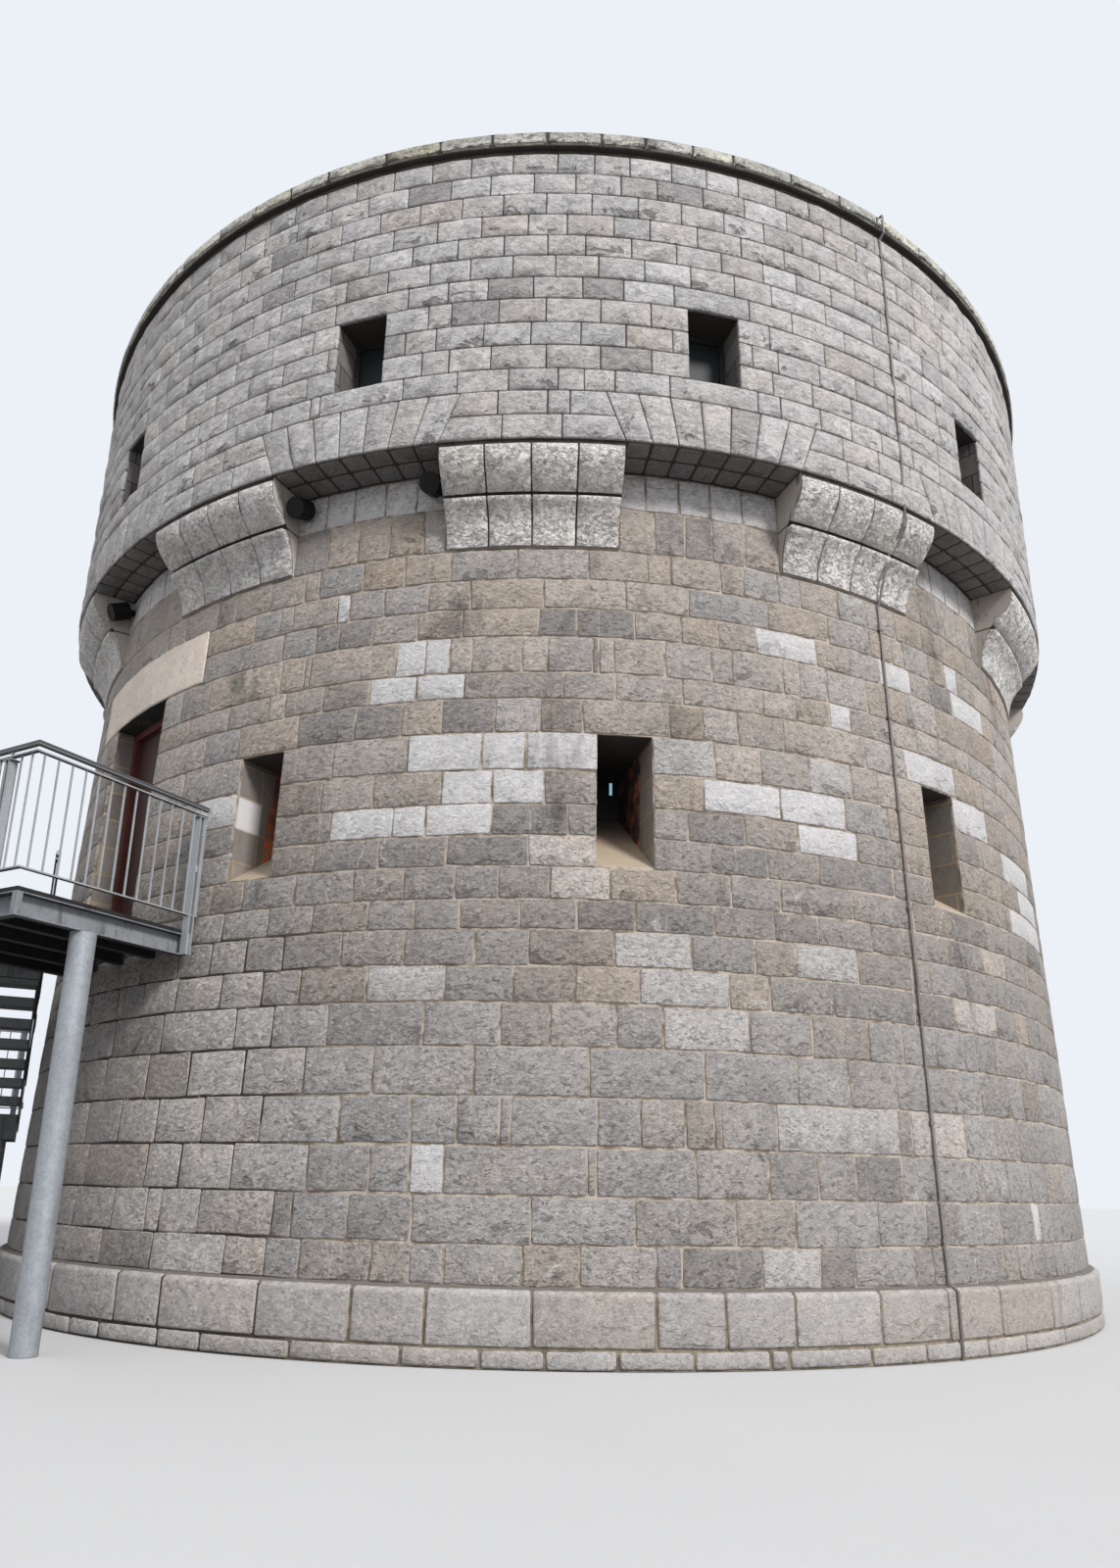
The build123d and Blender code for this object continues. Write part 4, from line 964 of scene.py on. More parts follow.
def upright(foot_radius, head_radius, foot, head):
    """A face function for a plain or battered ring: radius, level and the way out at a level."""

    def face(level):
        """The radius changes evenly between foot and head."""
        radius = foot_radius + (head_radius - foot_radius) * (level - foot) / (head - foot)
        return radius, level, 1.0, 0.0

    return face


def along_profile(profile):
    """A face function for a ring whose section is a line of (radius, level) points. The height
    along it starts at 0, and the way out is square to the line."""
    profile = np.asarray(profile, float)
    steps = np.hypot(*np.diff(profile, axis=0).T)
    length = np.concatenate([[0], np.cumsum(steps)])
    run = np.gradient(profile, length, axis=0)
    run /= np.hypot(run[:, 0], run[:, 1])[:, None]

    def face(height):
        """Each value is read off the line, straight between its points."""
        radius = np.interp(height, length, profile[:, 0])
        level = np.interp(height, length, profile[:, 1])
        out_way = np.interp(height, length, run[:, 1])
        up_way = -np.interp(height, length, run[:, 0])
        return radius, level, out_way, up_way

    return face, length[-1]


def divide(rng, start, end, mean, spread):
    """Bearings of the joints between start and end, for stones of about the mean length."""
    count = max(1, round((end - start) / mean))
    lengths = rng.uniform(1 - spread, 1 + spread, count)
    return start + (end - start) * np.concatenate([[0], np.cumsum(lengths)]) / lengths.sum()


def plain_tones(rng, count, bright, spread, warmth):
    """Tones of weathered stones: brightness about a mean, a warmth from a beta curve, nothing new,
    and a random variety."""
    bright = rng.normal(bright, spread, count)
    return np.stack([bright, rng.beta(*warmth, count), np.zeros(count), rng.random(count)], axis=1)


def straight(left, right, low, high):
    """A stone whose ends are upright."""
    return left, right, left, right, low, high


def course(rng, low, high, mean, spread, seen=(), gaps=()):
    """The stones of one course: between the seen joints as they are, nothing in the gaps, and
    random lengths over the rest. Bearings run once round the ring."""
    stones, taken = [], list(gaps)
    for start, end in zip(seen[:-1], seen[1:]):
        middle = (start + end) / 2
        if not any(a < middle < b for a, b in gaps):
            stones.append((start, end))
    if seen:
        taken = [(a, b) for a, b in gaps if b <= seen[0] + 0.3 or a >= seen[-1] - 0.3]
        taken.append((seen[0], seen[-1]))
    taken.sort()
    if not taken:
        start = rng.uniform(-180, 180)
        taken = [(start, start)]
    ends = taken[1:] + [(taken[0][0] + 360, 0)]
    for (_, start), (end, _) in zip(taken, ends):
        if end - start > 0.15:
            cuts = divide(rng, start, end, mean, spread)
            stones += list(zip(cuts[:-1], cuts[1:]))
    return [straight(a, b, low, high) for a, b in stones]


# Levels of the wall's courses, and the upright joints of each course that the photograph shows,
# as bearings from left to right. Openings lie between two of them.
WALL_LEVELS = (
    0.512, 0.786, 1.111, 1.451, 1.801, 2.161, 2.488, 2.77, 3.051, 3.291, 3.556, 3.81, 4.072,
    4.365, 4.692, 4.998, 5.239, 5.572, 5.838, 6.12, 6.418, 6.85, 7.218,
)
WALL_JOINTS = (
    (-34.7, -28.5, -21.3, -17.8, -15, -9.7, -6.9, -4.6, 0.8, 4.6, 9.8, 11.6, 17.4, 21.9, 24.8, 30.3,
     32.2, 37.1, 40.9, 43.1, 45.4, 50.3, 52.5),
    (-33.8, -29.7, -28.1, -24.1, -17.5, -16, -11.6, -7, 1.3, 8.4, 15.6, 20.1, 27.2, 31.9, 35.3, 41.1,
     46.6, 48, 51.1, 57.3),
    (-30.4, -26.6, -21.5, -15.1, -10.3, -7.3, -4.9, 5.1, 5.7, 12.8, 18.2, 22.2, 25.5, 29.9, 39.3, 43,
     47.1, 50.6),
    (-34.7, -29.9, -24.9, -19.4, -12.9, -7.5, -4.1, -1.1, -0.3, 5.8, 8.9, 12.1, 14.2, 14.8, 19.1, 30,
     31.3, 37.5, 41.9, 46, 49, 54.8),
    (-27, -21.4, -16.1, -10.6, -3.1, 5.2, 13.6, 21, 25.5, 30.2, 36.7, 40.5, 45.1, 47.9, 51.9),
    (-30.8, -22.8, -19.3, -14.5, -7, -1.3, 2.3, 7.2, 10.6, 17.3, 22.5, 27.7, 31.2, 35.1, 38.8, 40.5,
     43.4, 49.6),
    (-34.1, -29.7, -24.7, -20.6, -17.2, -11.6, -5.5, -0.4, 4.1, 8.9, 15.7, 19.1, 24.7, 33, 38.1, 44.5,
     48.5, 51.4),
    (-26.3, -22.6, -19, -13.9, -8.8, -3.4, 0.7, 7, 12.9, 18, 21.5, 27.3, 33.1, 35.3, 40.2, 46.6, 50.3),
    (-25.4, -20.8, -16.7, -12, -8.2, -4.7, -0.1, 4.2, 8.6, 14.8, 19.8, 23.7, 29, 33.6, 38.1, 43.4,
     47.9, 53),
    (-27.2, -23.7, -18.6, -13.4, -9.2, -5.2, -1.8, 2.1, 6.7, 11.8, 16.3, 20.5, 27.3, 34, 39.2, 44.8,
     49.8, 55),
    (-21.26, -17.1, -11.5, -6, 0.4, 5.66, 10.14, 14.7, 19.5, 24.2, 32, 37.06, 41.54, 45.5, 51, 62),
    (-21.26, -15.9, -10.5, -7.8, -2.5, 3.4, 5.66, 10.14, 12.9, 17.7, 22.4, 28.3, 33, 37.06, 41.54,
     46.1, 49.6, 54.4, 62),
    (-30.6, -25.74, -21.26, -17, -12.4, -6.7, -2.6, 1.5, 5.66, 10.14, 14.3, 21, 27.3, 32.1, 37.06,
     41.54, 45.1, 50.8, 59.5),
    (-21.26, -16.3, -9.7, -3.6, 0, 5.66, 10.14, 15.3, 19.3, 23.9, 28.3, 31.3, 37.06, 41.54, 47.9,
     52.8),
    (-30.6, -26.4, -20, -14.5, -10.4, -7, -2.6, 1.1, 4.5, 11.6, 14.4, 17.5, 21.7, 25.9, 30.1, 35, 42.4,
     46.1, 47.9, 53.5),
    (-33.5, -28.1, -23.5, -21.7, -17.8, -13.5, -9.3, -5.2, 2.9, 7.1, 12.8, 19.9, 23.1, 26.5, 28.8,
     33.4, 37.1, 40.3, 43.3, 45.8, 52),
    (-31.1, -22.5, -20, -19.4, -11.3, -8.7, -6.6, -4.7, -0.6, 1.6, 5.3, 5.8, 7.1, 11.3, 15.4, 17.3, 22,
     23.6, 26.5, 31, 36.1, 40.6, 46.9, 52.5),
    (-32.5, -22.6, -19.2, -16.8, -13.6, -9.6, -5.7, 0.7, 3.9, 8.8, 12.8, 16.1, 19.6, 25.6, 29.3, 32.8,
     37.1, 40, 43.8, 50.5),
    (-32.5, -26.3, -23.3, -21.9, -17.3, -16.1, -12.8, -8.8, -5.1, 1.1, 8.1, 13.5, 20.9, 27.1, 32, 34.8,
     36.5, 40.3, 43.1, 45.5, 49),
    (-36.5, -31.6, -29, -24.8, -20.9, -19.4, -15, -11.1, -7, -1.2, 4.9, 10, 12, 16.5, 18.7, 22.1, 24.4,
     28.5, 31.9, 35.7, 39.7, 43, 48),
    (-22.5, -18.9, -15.8, -12.8, -9.6, -7.5, 7.5, 10.6, 13.4, 15.9, 19, 22.5, 37.5, 40, 43, 47, 50.2,
     52.5),
    (-22.5, -19.5, -16.6, -13.5, -10.5, -7.5, 7.5, 9.9, 12.9, 15.8, 18.9, 22.5, 37.5, 40, 42.6, 45.3,
     48.4, 52.5),
)
# Stones that stand out: the kind gives brightness, warmth and newness, and the places are a
# course's number, counted from 0 at the foot, with bearings inside the stones
STONE_KINDS = {
    "pale": (1.0, 0.0, 1.0), "light": (1.12, 0.05, 0.12), "cream": (1.2, 0.5, 0.15),
    "beige": (1.1, 0.6, 0.05), "tan": (1.0, 0.8, 0.0), "orange": (0.95, 1.2, 0.0),
    "brown": (0.76, 0.6, 0.0), "dark": (0.68, 0.2, 0.0), "blue": (0.88, -0.12, 0.0),
}
WALL_KINDS = {
    "pale": {
        1: (47.3,), 2: (-6.0,), 10: (56.5,), 11: (-13.2, -9.2, -5.1, 25.3, 58.2),
        12: (-28.2, -4.6, -0.6, 17.6, 24.1, 55.1), 13: (-6.6, -1.8, 2.8, 44.7), 14: (38.7,),
        15: (-11.4, -7.3, 27.6), 16: (-10, -7.6), 17: (22.6, 34.9, 47.1), 18: (-16.7, 44.3),
    },
    "light": {0: (19.6,), 6: (10, -8), 7: (10, 25), 3: (25,), 5: (14,), 13: (26, 12.5)},
    "cream": {3: (34.4,), 6: (41.3,), 9: (4.4,), 10: (3,)},
    "beige": {
        8: (45.6,), 15: (-22.6, 44.5), 16: (-5.6, 0.5, 6.4, 22.8), 18: (10.8, 4), 13: (18, 35), 14: (28,),
    },
    "tan": {
        6: (6.5, 17.4, 50), 9: (9.2,), 14: (-23, -8.7, 44), 17: (-7.6, 14), 19: (-9, 37.7, 41.3, 45.5),
        20: (-14.3, -11.2), 12: (34, 12), 11: (35, 48), 18: (24, -2),
    },
    "orange": {19: (-13,)},
    "brown": {3: (14.5,), 4: (50,), 6: (1.8, -14.4), 7: (3.8,), 8: (-14.3,), 14: (2.8,), 15: (-15.6,)},
    "dark": {
        0: (14.5, 23.3, -33), 1: (-16.7,), 6: (35.5,), 10: (-8.7, -2.8, 17.1), 11: (0.5, 15.3),
        14: (-17.2, -12.4, -4.8), 17: (-18, -15, 2.3, 6.3, 41.9), 2: (27,), 8: (12,),
    },
    "blue": {14: (-28.5,), 17: (-20.9,), 19: (-17.2,), 18: (-24.7, 17)},
}
# How bright the wall is, level by level
BRIGHT_LEVELS = (0.5, 2.0, 2.6, 3.8, 4.6, 7.2)
BRIGHTNESS = (0.88, 0.9, 0.83, 0.77, 0.96, 1.03)
# The wall is patched and warmer above the first level, and the top course is of new stone
PATCHED_FROM, PATCHED_RISE = 2.3, 1.5
NEW_COURSE = 6.9
WALL_BANDS = ((0.0, 2.1), (2.1, 4.0), (4.0, 7.3))
# Openings, in bearings and levels
LOOPHOLES = [-23.5 + 31.4 * i for i in range(11)]
LOOPHOLE_HALF = 2.24
LOOPHOLE_LEVELS = (3.556, 4.692)
DOOR_BEARING = -43.8
DOOR_HALF = 5.53
DOOR_LEVELS = (3.1, 5.572)
LINTEL = (-55.1, -32.5)
LINTEL_COURSES = (5.572, 6.12)
LINTEL_LEVELS = (5.585, 6.163)
# The corbels stand in the middle of twelve bays, and the windows and arches between them
BAY, BAYS = 30, 12
CORBEL_HALF = 7.5
CORBEL_COURSES = 6.418
SOFFIT = 7.223
# The faces of the stones: a radius at the foot and at the head, and their two levels
wall_face = upright(5.914, 5.695, WALL_LOW, WALL_TOP)
drum_face = upright(6.124, 6.089, DRUM_LOW, COPING_LOW)


def around(spans):
    """Spans of bearings moved by whole turns so that each starts in -180 to 180."""
    moved = []
    for start, end in spans:
        turn = 360 * np.floor((start + 180) / 360)
        moved.append((start - turn, end - turn))
    return moved


def wall_gaps(low, high):
    """What a course leaves out: loopholes, the door, its lintel, and the corbels."""
    spans = []
    middle = (low + high) / 2
    if LOOPHOLE_LEVELS[0] < middle < LOOPHOLE_LEVELS[1]:
        spans += [(b - LOOPHOLE_HALF, b + LOOPHOLE_HALF) for b in LOOPHOLES]
    if DOOR_LEVELS[0] < middle < DOOR_LEVELS[1]:
        spans.append((DOOR_BEARING - DOOR_HALF, DOOR_BEARING + DOOR_HALF))
    if LINTEL_COURSES[0] < middle < LINTEL_COURSES[1]:
        spans.append(LINTEL)
    if middle > CORBEL_COURSES:
        spans += [(BAY * k - CORBEL_HALF, BAY * k + CORBEL_HALF) for k in range(BAYS)]
    return around(spans)


def mark_kinds(stones, courses, kinds, tones):
    """Gives the stones that stand out their tones: the one of the course that spans the bearing."""
    for kind, places in kinds.items():
        for number, bearings in places.items():
            for bearing in bearings:
                hit = (courses == number) & (stones[:, 0] < bearing) & (stones[:, 1] > bearing)
                tones[hit, :3] = STONE_KINDS[kind]


def lay_wall():
    """The battered wall: every course, with its new pale stones. Upper runs from 0 on the low
    courses to 1 on the patched ones, and blends two sets of random tones; the brightness is then
    multiplied by level, and by up to 1.52 low on the left, and the right gains a little."""
    rng = np.random.default_rng(11)
    stones, courses = [], []
    for number, (low, high) in enumerate(zip(WALL_LEVELS[:-1], WALL_LEVELS[1:])):
        mean = 6.0 if low < 4.7 else 4.6
        if low > 6.4:
            mean = 3.0
        laid = course(rng, low, high, mean, 0.42, WALL_JOINTS[number], wall_gaps(low, high))
        stones += laid
        courses += [number] * len(laid)
    stones, courses = np.array(stones), np.array(courses)
    middle = (stones[:, 0] + stones[:, 1]) / 2
    level = (stones[:, 4] + stones[:, 5]) / 2
    count = len(stones)
    upper = np.clip((level - PATCHED_FROM) / PATCHED_RISE, 0, 1)
    warm = rng.beta(1.1, 6.0, count) * (1 - upper) + upper * rng.beta(3.0, 3.4, count)
    bright = rng.normal(1.0, 0.05, count) * (1 - upper) + upper * rng.normal(1.0, 0.07, count)
    bright *= np.interp(level, BRIGHT_LEVELS, BRIGHTNESS)
    left = np.clip((-14 - middle) / 14, 0, 1) * (middle > -70)
    bright *= 1 + 0.52 * left * np.clip((3.4 - level) / 0.8, 0, 1)
    dark = (rng.random(count) < 0.12 * upper) * 0.2
    bright = np.clip(bright - dark, 0.6, 1.2)
    unseen = (middle < -50) | (middle > 62)
    new = (unseen & (rng.random(count) < 0.05 * upper)).astype(float)
    new = np.where(level > NEW_COURSE, 0.72, new)
    right = np.clip((middle - 10) / 30, 0, 1) * (middle < 90) * upper
    bright = np.where(new > 0, 1.0, bright + 0.06 * right)
    tones = np.stack([bright, warm * (new == 0), new, rng.random(count)], axis=1)
    mark_kinds(stones, courses, WALL_KINDS, tones)
    tones[level > NEW_COURSE, 0] = 1.25
    for number, (low, high) in enumerate(WALL_BANDS):
        inside = (level > low) & (level < high)
        lay_stones(
            f"wall_stones_{number + 1}", stones[inside], tones[inside], wall_face, wall_stone,
            seed=20 + number, joint=0.008, bulge=0.002, facets=0.004, jitter=0.006,
            wobble=0.006, arris=0.004, arris_drop=0.002, shoulder=0.014, sink=0.025, corner=0.005,
        )


# Levels of the drum's courses, and its upright joints that the photograph shows, as bearings.
# The first two courses stand between the arches: their joints are given bay by bay.
DRUM_LEVELS = (7.223, 7.463, 7.707, 7.935, 8.185, 8.43, 8.69, 8.925, 9.17, 9.40, 9.64, 9.885, 10.12, 10.358)
DRUM_JOINTS = (
    (-33.3, -31.2, -27.3, -23.3, -19.3, -18.4, -10.8, -6.2, -2, 2, 4.1, 6.6, 11.1, 18.7, 20.8, 24.7,
     27.9, 31.3),
    (-32.6, -28.7, -24.1, -19.9, -17.2, -12.8, -9.3, -7, -3.5, 1, 5.4, 9.6, 12.8, 17.2, 20.2, 24, 28.1,
     32.3),
    (-34.7, -30.6, -26.4, -22.6, -18, -17.2, -12.8, -10.9, -8.2, -4.2, -0.3, 3.8, 7.5, 11.4, 12.8,
     17.2, 18.4, 20.8, 24.9, 28.8),
    (-32.4, -28.4, -24.1, -19.7, -17.2, -12.8, -9, -7, -3, 0.9, 5.4, 9.6, 12.8, 17.2, 20.1, 25.6,
     31.1),
    (-31.3, -28, -24.8, -21.2, -17.7, -10.9, -7.4, -4, -0.2, 3.9, 7.3, 11.6, 18.3, 22.4, 27.9, 33.4),
    (-30.9, -27, -23.7, -20.3, -16.8, -12.9, -9.1, -5.6, -2, 1.6, 5.2, 9.1, 13.1, 17, 20.5, 26, 31.4),
    (-34.1, -30, -26.1, -22.4, -18.6, -14.8, -10.8, -6.8, -2.8, 0.9, 4.1, 8, 11.9, 15.9, 19.8, 23.1,
     26.8, 32.6),
    (-32, -28.2, -24.1, -20.3, -16.5, -12.7, -8.7, -4.8, -0.8, 2.5, 6.5, 9.6, 13.8, 17.8, 22, 25.7,
     29.7, 33.8),
    (-34, -29.5, -25.6, -21.6, -17.9, -14.1, -10.4, -6.6, -3, 0.7, 4.6, 8.6, 12.4, 16.3, 20.1, 24,
     27.7, 31.4),
    (-30, -26.8, -22.9, -19.2, -15.4, -11.6, -7.7, -4.2, -0.4, 3.2, 7.1, 10.3, 14.4, 18.3, 22.5, 26.5,
     30.2, 33.8),
    (-33.1, -29.6, -26.4, -23.4, -19.9, -16.8, -13.1, -9.5, -6, -2.3, 1.6, 4.8, 7.9, 11.6, 14.8, 17.8,
     21.5, 25, 28.6, 32.8),
)
SPRINGER_JOINTS = {
    -30: ((-32.1, -27.1), (-32.4, -28.5)),
    0: ((-2.4, 2.4), (-2.8, 1.2, 3.0)),
    30: ((27.1, 32.0), (26.8, 30.7, 34.6)),
}
DRUM_KINDS = {
    "dark": {1: (7.4,), 3: (-5,), 4: (5.5, -1), 6: (-26,), 9: (13, -10), 2: (-12,), 8: (-24,)},
    "blue": {5: (-3,), 7: (-22, 9), 10: (-26, 3), 2: (0.3, 5.5), 4: (15,)},
    "tan": {8: (-12, -8.5), 7: (-4,), 2: (9.5,)},
    "light": {5: (12, 24), 6: (-12, 22), 9: (20, -2), 10: (10, 17)},
}
VOUSSOIRS = 7
# How far, in degrees, the end of an arch leans out over its corbel from foot to head
ARCH_SKEW = 1.65
WINDOW_HALF = 2.2
WINDOW_LEVELS = (7.92, 8.7)
# The drum's stones are two pieces, above and below this level
DRUM_SPLIT = 8.8


def springers(rng):
    """The stones between the arches: two courses on each corbel, narrower from foot to head. The
    bays that the photograph shows have their own joints, and the others random ones."""
    first, _, crown = DRUM_LEVELS[:3]
    stones = []
    for bay in range(-5, 7):
        middle = BAY * bay
        for number, count in ((0, 3), (1, 4)):
            low, high = DRUM_LEVELS[number : number + 2]
            foot = CORBEL_HALF - ARCH_SKEW * (low - first) / (crown - first)
            head = CORBEL_HALF - ARCH_SKEW * (high - first) / (crown - first)
            if middle in SPRINGER_JOINTS:
                inner = SPRINGER_JOINTS[middle][number]
            else:
                inner = divide(rng, middle - foot, middle + foot, 2 * foot / count, 0.25)[1:-1]
            lefts = [(middle - foot, middle - head)] + [(b, b) for b in inner]
            rights = [(b, b) for b in inner] + [(middle + foot, middle + head)]
            stones += [(a[0], b[0], a[1], b[1], low, high) for a, b in zip(lefts, rights)]
    return stones


def flat_arches():
    """Seven fanned stones over each gap between two corbels: each joint leans in proportion to its
    distance from the middle of the arch."""
    first, _, crown = DRUM_LEVELS[:3]
    feet = np.linspace(-CORBEL_HALF, CORBEL_HALF, VOUSSOIRS + 1)
    heads = feet * (CORBEL_HALF + ARCH_SKEW) / CORBEL_HALF
    arches = []
    for bay in range(-5, 7):
        middle = BAY * (bay + 0.5)
        for a, b, c, d in zip(feet[:-1], feet[1:], heads[:-1], heads[1:]):
            arches.append((middle + a, middle + b, middle + c, middle + d, first, crown))
    return arches


def lay_drum():
    """The drum: rock-faced courses over flat arches of fanned stones between the corbels."""
    rng = np.random.default_rng(31)
    stones, arches = springers(rng), flat_arches()
    courses = [-1] * len(stones)
    middles = [BAY * (k + 0.5) for k in range(BAYS)]
    windows = around([(b - WINDOW_HALF, b + WINDOW_HALF) for b in middles])
    for number, (low, high) in enumerate(zip(DRUM_LEVELS[2:-1], DRUM_LEVELS[3:])):
        gaps = windows if WINDOW_LEVELS[0] < (low + high) / 2 < WINDOW_LEVELS[1] else ()
        laid = course(rng, low, high, 3.9, 0.2, DRUM_JOINTS[number], gaps)
        stones += laid
        courses += [number] * len(laid)
    for name, group, numbers, seed in (
        ("drum_stones", np.array(stones), np.array(courses), 41),
        ("arch_stones", np.array(arches), np.full(len(arches), -1), 45),
    ):
        count = len(group)
        bright = np.clip(rng.normal(1.0, 0.06, count) - (rng.random(count) < 0.08) * 0.15, 0.6, 1.2)
        warm = rng.beta(1.3, 4.0, count)
        tones = np.stack([bright, warm, 0 * warm, rng.random(count)], axis=1)
        mark_kinds(group, numbers, DRUM_KINDS, tones)
        foot_level = group[:, 4]
        for half, inside in enumerate((foot_level < DRUM_SPLIT, foot_level >= DRUM_SPLIT)):
            if inside.any():
                lay_stones(
                    f"{name}_{half + 1}", group[inside], tones[inside], drum_face, drum_stone,
                    seed=seed + half, joint=0.006, bulge=0.004, facets=0.016,
                    jitter=0.002, wobble=0.0015, arris=0.003, arris_drop=0.002, shoulder=0.014,
                    across=(0.25, 0.5, 0.75), up=(0.35, 0.65), corner=0.002,
                )


# Upright joints of the plinth's two courses that the photograph shows, as bearings
PLINTH_JOINTS = (
    (-32.3, -25.9, -22, -14.8, -7, -1.8, 2.4, 7.1, 12.1, 17.4, 18.7, 25.1, 30, 36.5, 41.5, 48.3),
    (-30.8, -26.1, -17.6, -10.6, -5.5, 1.5, 9.6, 14.3, 19.3, 26.1, 32.5, 38.5, 46.4, 52.9, 56.5),
)


def lay_plinth():
    """The plinth: a low course, and a tall one with a bevelled head."""
    rng = np.random.default_rng(51)
    face, _ = along_profile([(6.0, 0.0), (6.0, 0.4), (6.0, 0.472), (5.985, 0.482), (5.93, 0.522)])
    low = course(rng, 0.0, 0.13, 5.3, 0.3, PLINTH_JOINTS[0])
    tall = course(rng, 0.13, 0.535, 7.6, 0.35, PLINTH_JOINTS[1])
    for name, group, up in (
        ("plinth_low_stones", low, (0.5,)),
        ("plinth_tall_stones", tall, (0.4, 0.8, 0.86)),
    ):
        tones = plain_tones(rng, len(group), 1.0, 0.05, (1.2, 6))
        lay_stones(
            name, group, tones, face, plinth_stone, seed=55, joint=0.013,
            bulge=0.003, arris=0.006, shoulder=0.018, up=up, corner=0.006,
        )


CORBEL_CUTS = (-7.5, -3.75, 0.0, 3.75, 7.5)


def lay_corbels():
    """The corbels: four hollow-moulded stones below and four rolled stones above, on each. The
    hollow is an arc that starts upright at the foot and ends at the lip."""
    rng = np.random.default_rng(61)
    foot, lip, low, high = 5.737, 5.905, 6.430, CORBEL_BED - 0.036
    arc = ((lip - foot) ** 2 + (high - low) ** 2) / (2 * (lip - foot))
    level = np.linspace(low, high, 12)
    hollow = [(foot + arc - np.sqrt(arc**2 - (z - low) ** 2), z) for z in level]
    hollow += [(lip + 0.008, high + 0.012), (lip + 0.008, CORBEL_BED - 0.004)]
    roll = [
        (5.912, CORBEL_BED + 0.012), (5.937, 6.868), (5.977, 6.905), (6.018, 6.95), (6.054, 6.995),
        (6.087, 7.043), (6.105, 7.09), (6.112, 7.14), (6.113, 7.17), (6.112, 7.19),
    ]
    for name, profile, ups in (
        ("corbel_hollow_stones", hollow, (0.2, 0.4, 0.58, 0.74, 0.86, 0.912)),
        ("corbel_roll_stones", roll, (0.15, 0.3, 0.45, 0.6, 0.75, 0.88)),
    ):
        face, length = along_profile(profile)
        group = [
            straight(BAY * k + a, BAY * k + b, 0.0, length)
            for k in range(BAYS)
            for a, b in zip(CORBEL_CUTS[:-1], CORBEL_CUTS[1:])
        ]
        tones = plain_tones(rng, len(group), 1.1, 0.04, (1.2, 6))
        lay_stones(
            name, group, tones, face, corbel_stone, seed=65, joint=0.005,
            proud=0.004, bulge=0.003, facets=0.004, jitter=0.001, wobble=0.002, arris_drop=0.003,
            shoulder=0.012, sink=0.1, across=(0.25, 0.5, 0.75), up=ups, corner=0.002,
        )


def lay_soffits():
    """The undersides of the arches between the corbels: two rows of blocks, seen from below. Here
    the height of a stone is its reach from the axis, and its way out is down."""
    rng = np.random.default_rng(71)

    def face(radius):
        """A level plane: every reach has the same level."""
        return radius, SOFFIT + 0 * radius, 0.0, -1.0

    cuts = np.linspace(-CORBEL_HALF, CORBEL_HALF, VOUSSOIRS + 1)
    group = [
        straight(BAY * (k + 0.5) + a, BAY * (k + 0.5) + b, low, high)
        for k in range(BAYS)
        for a, b in zip(cuts[:-1], cuts[1:])
        for low, high in ((5.70, 5.915), (5.915, DRUM_RADIUS))
    ]
    # the soffit stones are the drum's stone at 0.4 of its brightness: painted shade on the undersides
    tones = plain_tones(rng, len(group), 0.4, 0.05, (2, 3))
    lay_stones(
        "soffit_stones", group, tones, face, drum_stone, seed=75, proud=0.006,
        bulge=0.003, jitter=0.002, wobble=0.002, sink=0.01,
    )


def lay_coping():
    """The coping: heavy stones with a face, a top that falls outwards, and an inner face."""
    rng = np.random.default_rng(81)
    profile = [
        (6.149, COPING_LOW), (6.150, 10.42), (6.150, 10.48), (6.149, 10.535), (6.138, 10.558),
        (6.10, 10.568), (5.30, 10.606), (5.225, 10.606), (5.202, 10.59), (5.200, 10.42),
    ]
    face, length = along_profile(profile)
    steps = np.cumsum(np.hypot(*np.diff(np.array(profile), axis=0).T)) / length
    group = course(rng, 0.0, length, 4.75, 0.25)
    tones = plain_tones(rng, len(group), 1.0, 0.12, (2, 3))
    lay_stones(
        "coping_stones", group, tones, face, coping_stone, seed=85, joint=0.012,
        bulge=0.004, jitter=0.004, wobble=0.005, arris=0.01, arris_drop=0.006, shoulder=0.02,
        sink=0.02, up=tuple(steps[:-1]), corner=0.01,
    )


def lay_lintel():
    """The smooth lintel over the door, in one length."""
    group, tones = [straight(*LINTEL, *LINTEL_LEVELS)], [(1.0, 0.3, 0.0, 0.3)]
    lay_stones(
        "door_lintel_stone", group, tones, wall_face, dressed_stone, seed=91,
        joint=0.004, bulge=0.002, jitter=0.0, wobble=0.001, arris_drop=0.002, corner=0.003,
        across=(0.08, 0.16, 0.25, 0.34, 0.42, 0.5, 0.58, 0.66, 0.75, 0.84, 0.92), up=(0.3, 0.5, 0.7),
    )


lay_wall()
lay_drum()
lay_plinth()
lay_corbels()
lay_soffits()
lay_coping()
lay_lintel()


# Light and surroundings


FLOOR_REACH = 90
LAMP_BEARING, LAMP_HEIGHT, LAMP_BREADTH = 42.0, 35.0, 14


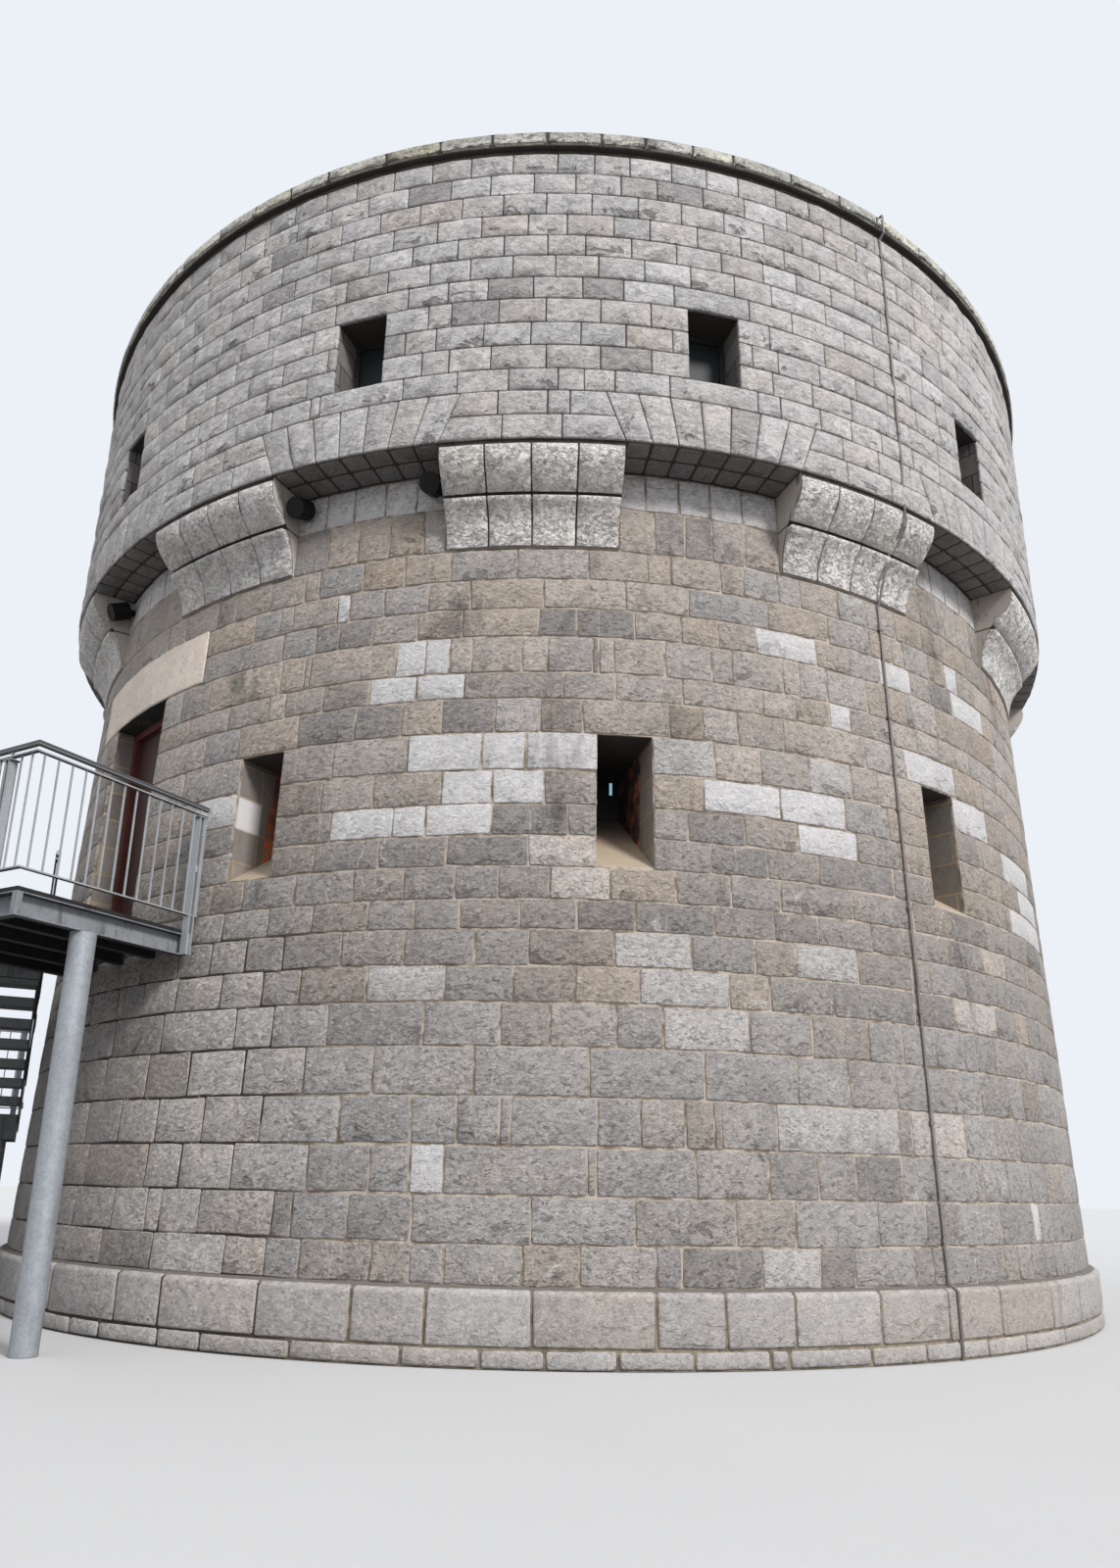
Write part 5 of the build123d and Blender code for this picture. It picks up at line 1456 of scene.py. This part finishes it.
def set_the_stage():
    """A pale floor, a pale backdrop from the world, and one broad soft lamp. The camera sees the
    pale floor and backdrop, and the light that falls on the tower comes from darker ones."""
    material, tree, shader = new_material("studio_floor_finish", Roughness=0.9)
    place = object_place(tree)
    tint = blend_colours(tree, noise(tree, place, 0.6, 3), rgb(0.6, 0.6, 0.605), rgb(0.64, 0.64, 0.645))
    looked_at = add_node(tree, "ShaderNodeLightPath").outputs
    looked_at = calculate(tree, "MAXIMUM", looked_at["Is Camera Ray"], looked_at["Is Glossy Ray"])
    tint = blend_colours(tree, looked_at, rgb(0.16, 0.155, 0.15), tint)
    tree.links.new(tint, shader["Base Color"])
    signs = ((-1, -1), (1, -1), (1, 1), (-1, 1))
    corners = [(FLOOR_REACH * x, FLOOR_REACH * y, -0.004) for x, y in signs]
    mesh = bpy.data.meshes.new("studio_floor")
    mesh.from_pydata(corners, [], [(0, 1, 2, 3)])
    mesh.materials.append(material)
    floor = bpy.data.objects.new("studio_floor", mesh)
    scene.collection.objects.link(floor)
    world = bpy.data.worlds.new("studio_world")
    scene.world = world
    world.use_nodes = True
    tree = world.node_tree
    tree.nodes.clear()
    rays = add_node(tree, "ShaderNodeLightPath").outputs
    seen = calculate(tree, "MAXIMUM", rays["Is Camera Ray"], rays["Is Glossy Ray"])
    seen = calculate(tree, "MAXIMUM", seen, rays["Is Transmission Ray"])
    light = add_node(tree, "ShaderNodeBackground", {"Color": rgb(0.95, 0.97, 1.0), "Strength": 0.82})
    backdrop = add_node(tree, "ShaderNodeBackground", {"Color": rgb(0.84, 0.88, 0.94), "Strength": 1.0})
    mixed = add_node(tree, "ShaderNodeMixShader", {0: seen, 1: light.outputs[0], 2: backdrop.outputs[0]})
    output = add_node(tree, "ShaderNodeOutputWorld", {"Surface": mixed.outputs[0]})
    output.is_active_output = True
    lamp = bpy.data.lights.new("studio_lamp", "SUN")
    lamp.energy = 2.65
    lamp.angle = np.radians(LAMP_BREADTH)
    lamp.color = (1.0, 0.985, 0.96)
    sun = bpy.data.objects.new("studio_lamp", lamp)
    scene.collection.objects.link(sun)
    bearing, elevation = np.radians([LAMP_BEARING, LAMP_HEIGHT])
    way = np.array(
        [np.sin(bearing) * np.cos(elevation), -np.cos(bearing) * np.cos(elevation), np.sin(elevation)]
    )
    side = np.cross([0, 0, 1], way)
    side /= np.linalg.norm(side)
    turned = np.eye(4)
    turned[:3, :3] = np.stack([side, np.cross(way, side), way], axis=1)
    sun.matrix_world = Matrix(turned.tolist())
    scene.view_settings.view_transform = "Standard"


set_the_stage()
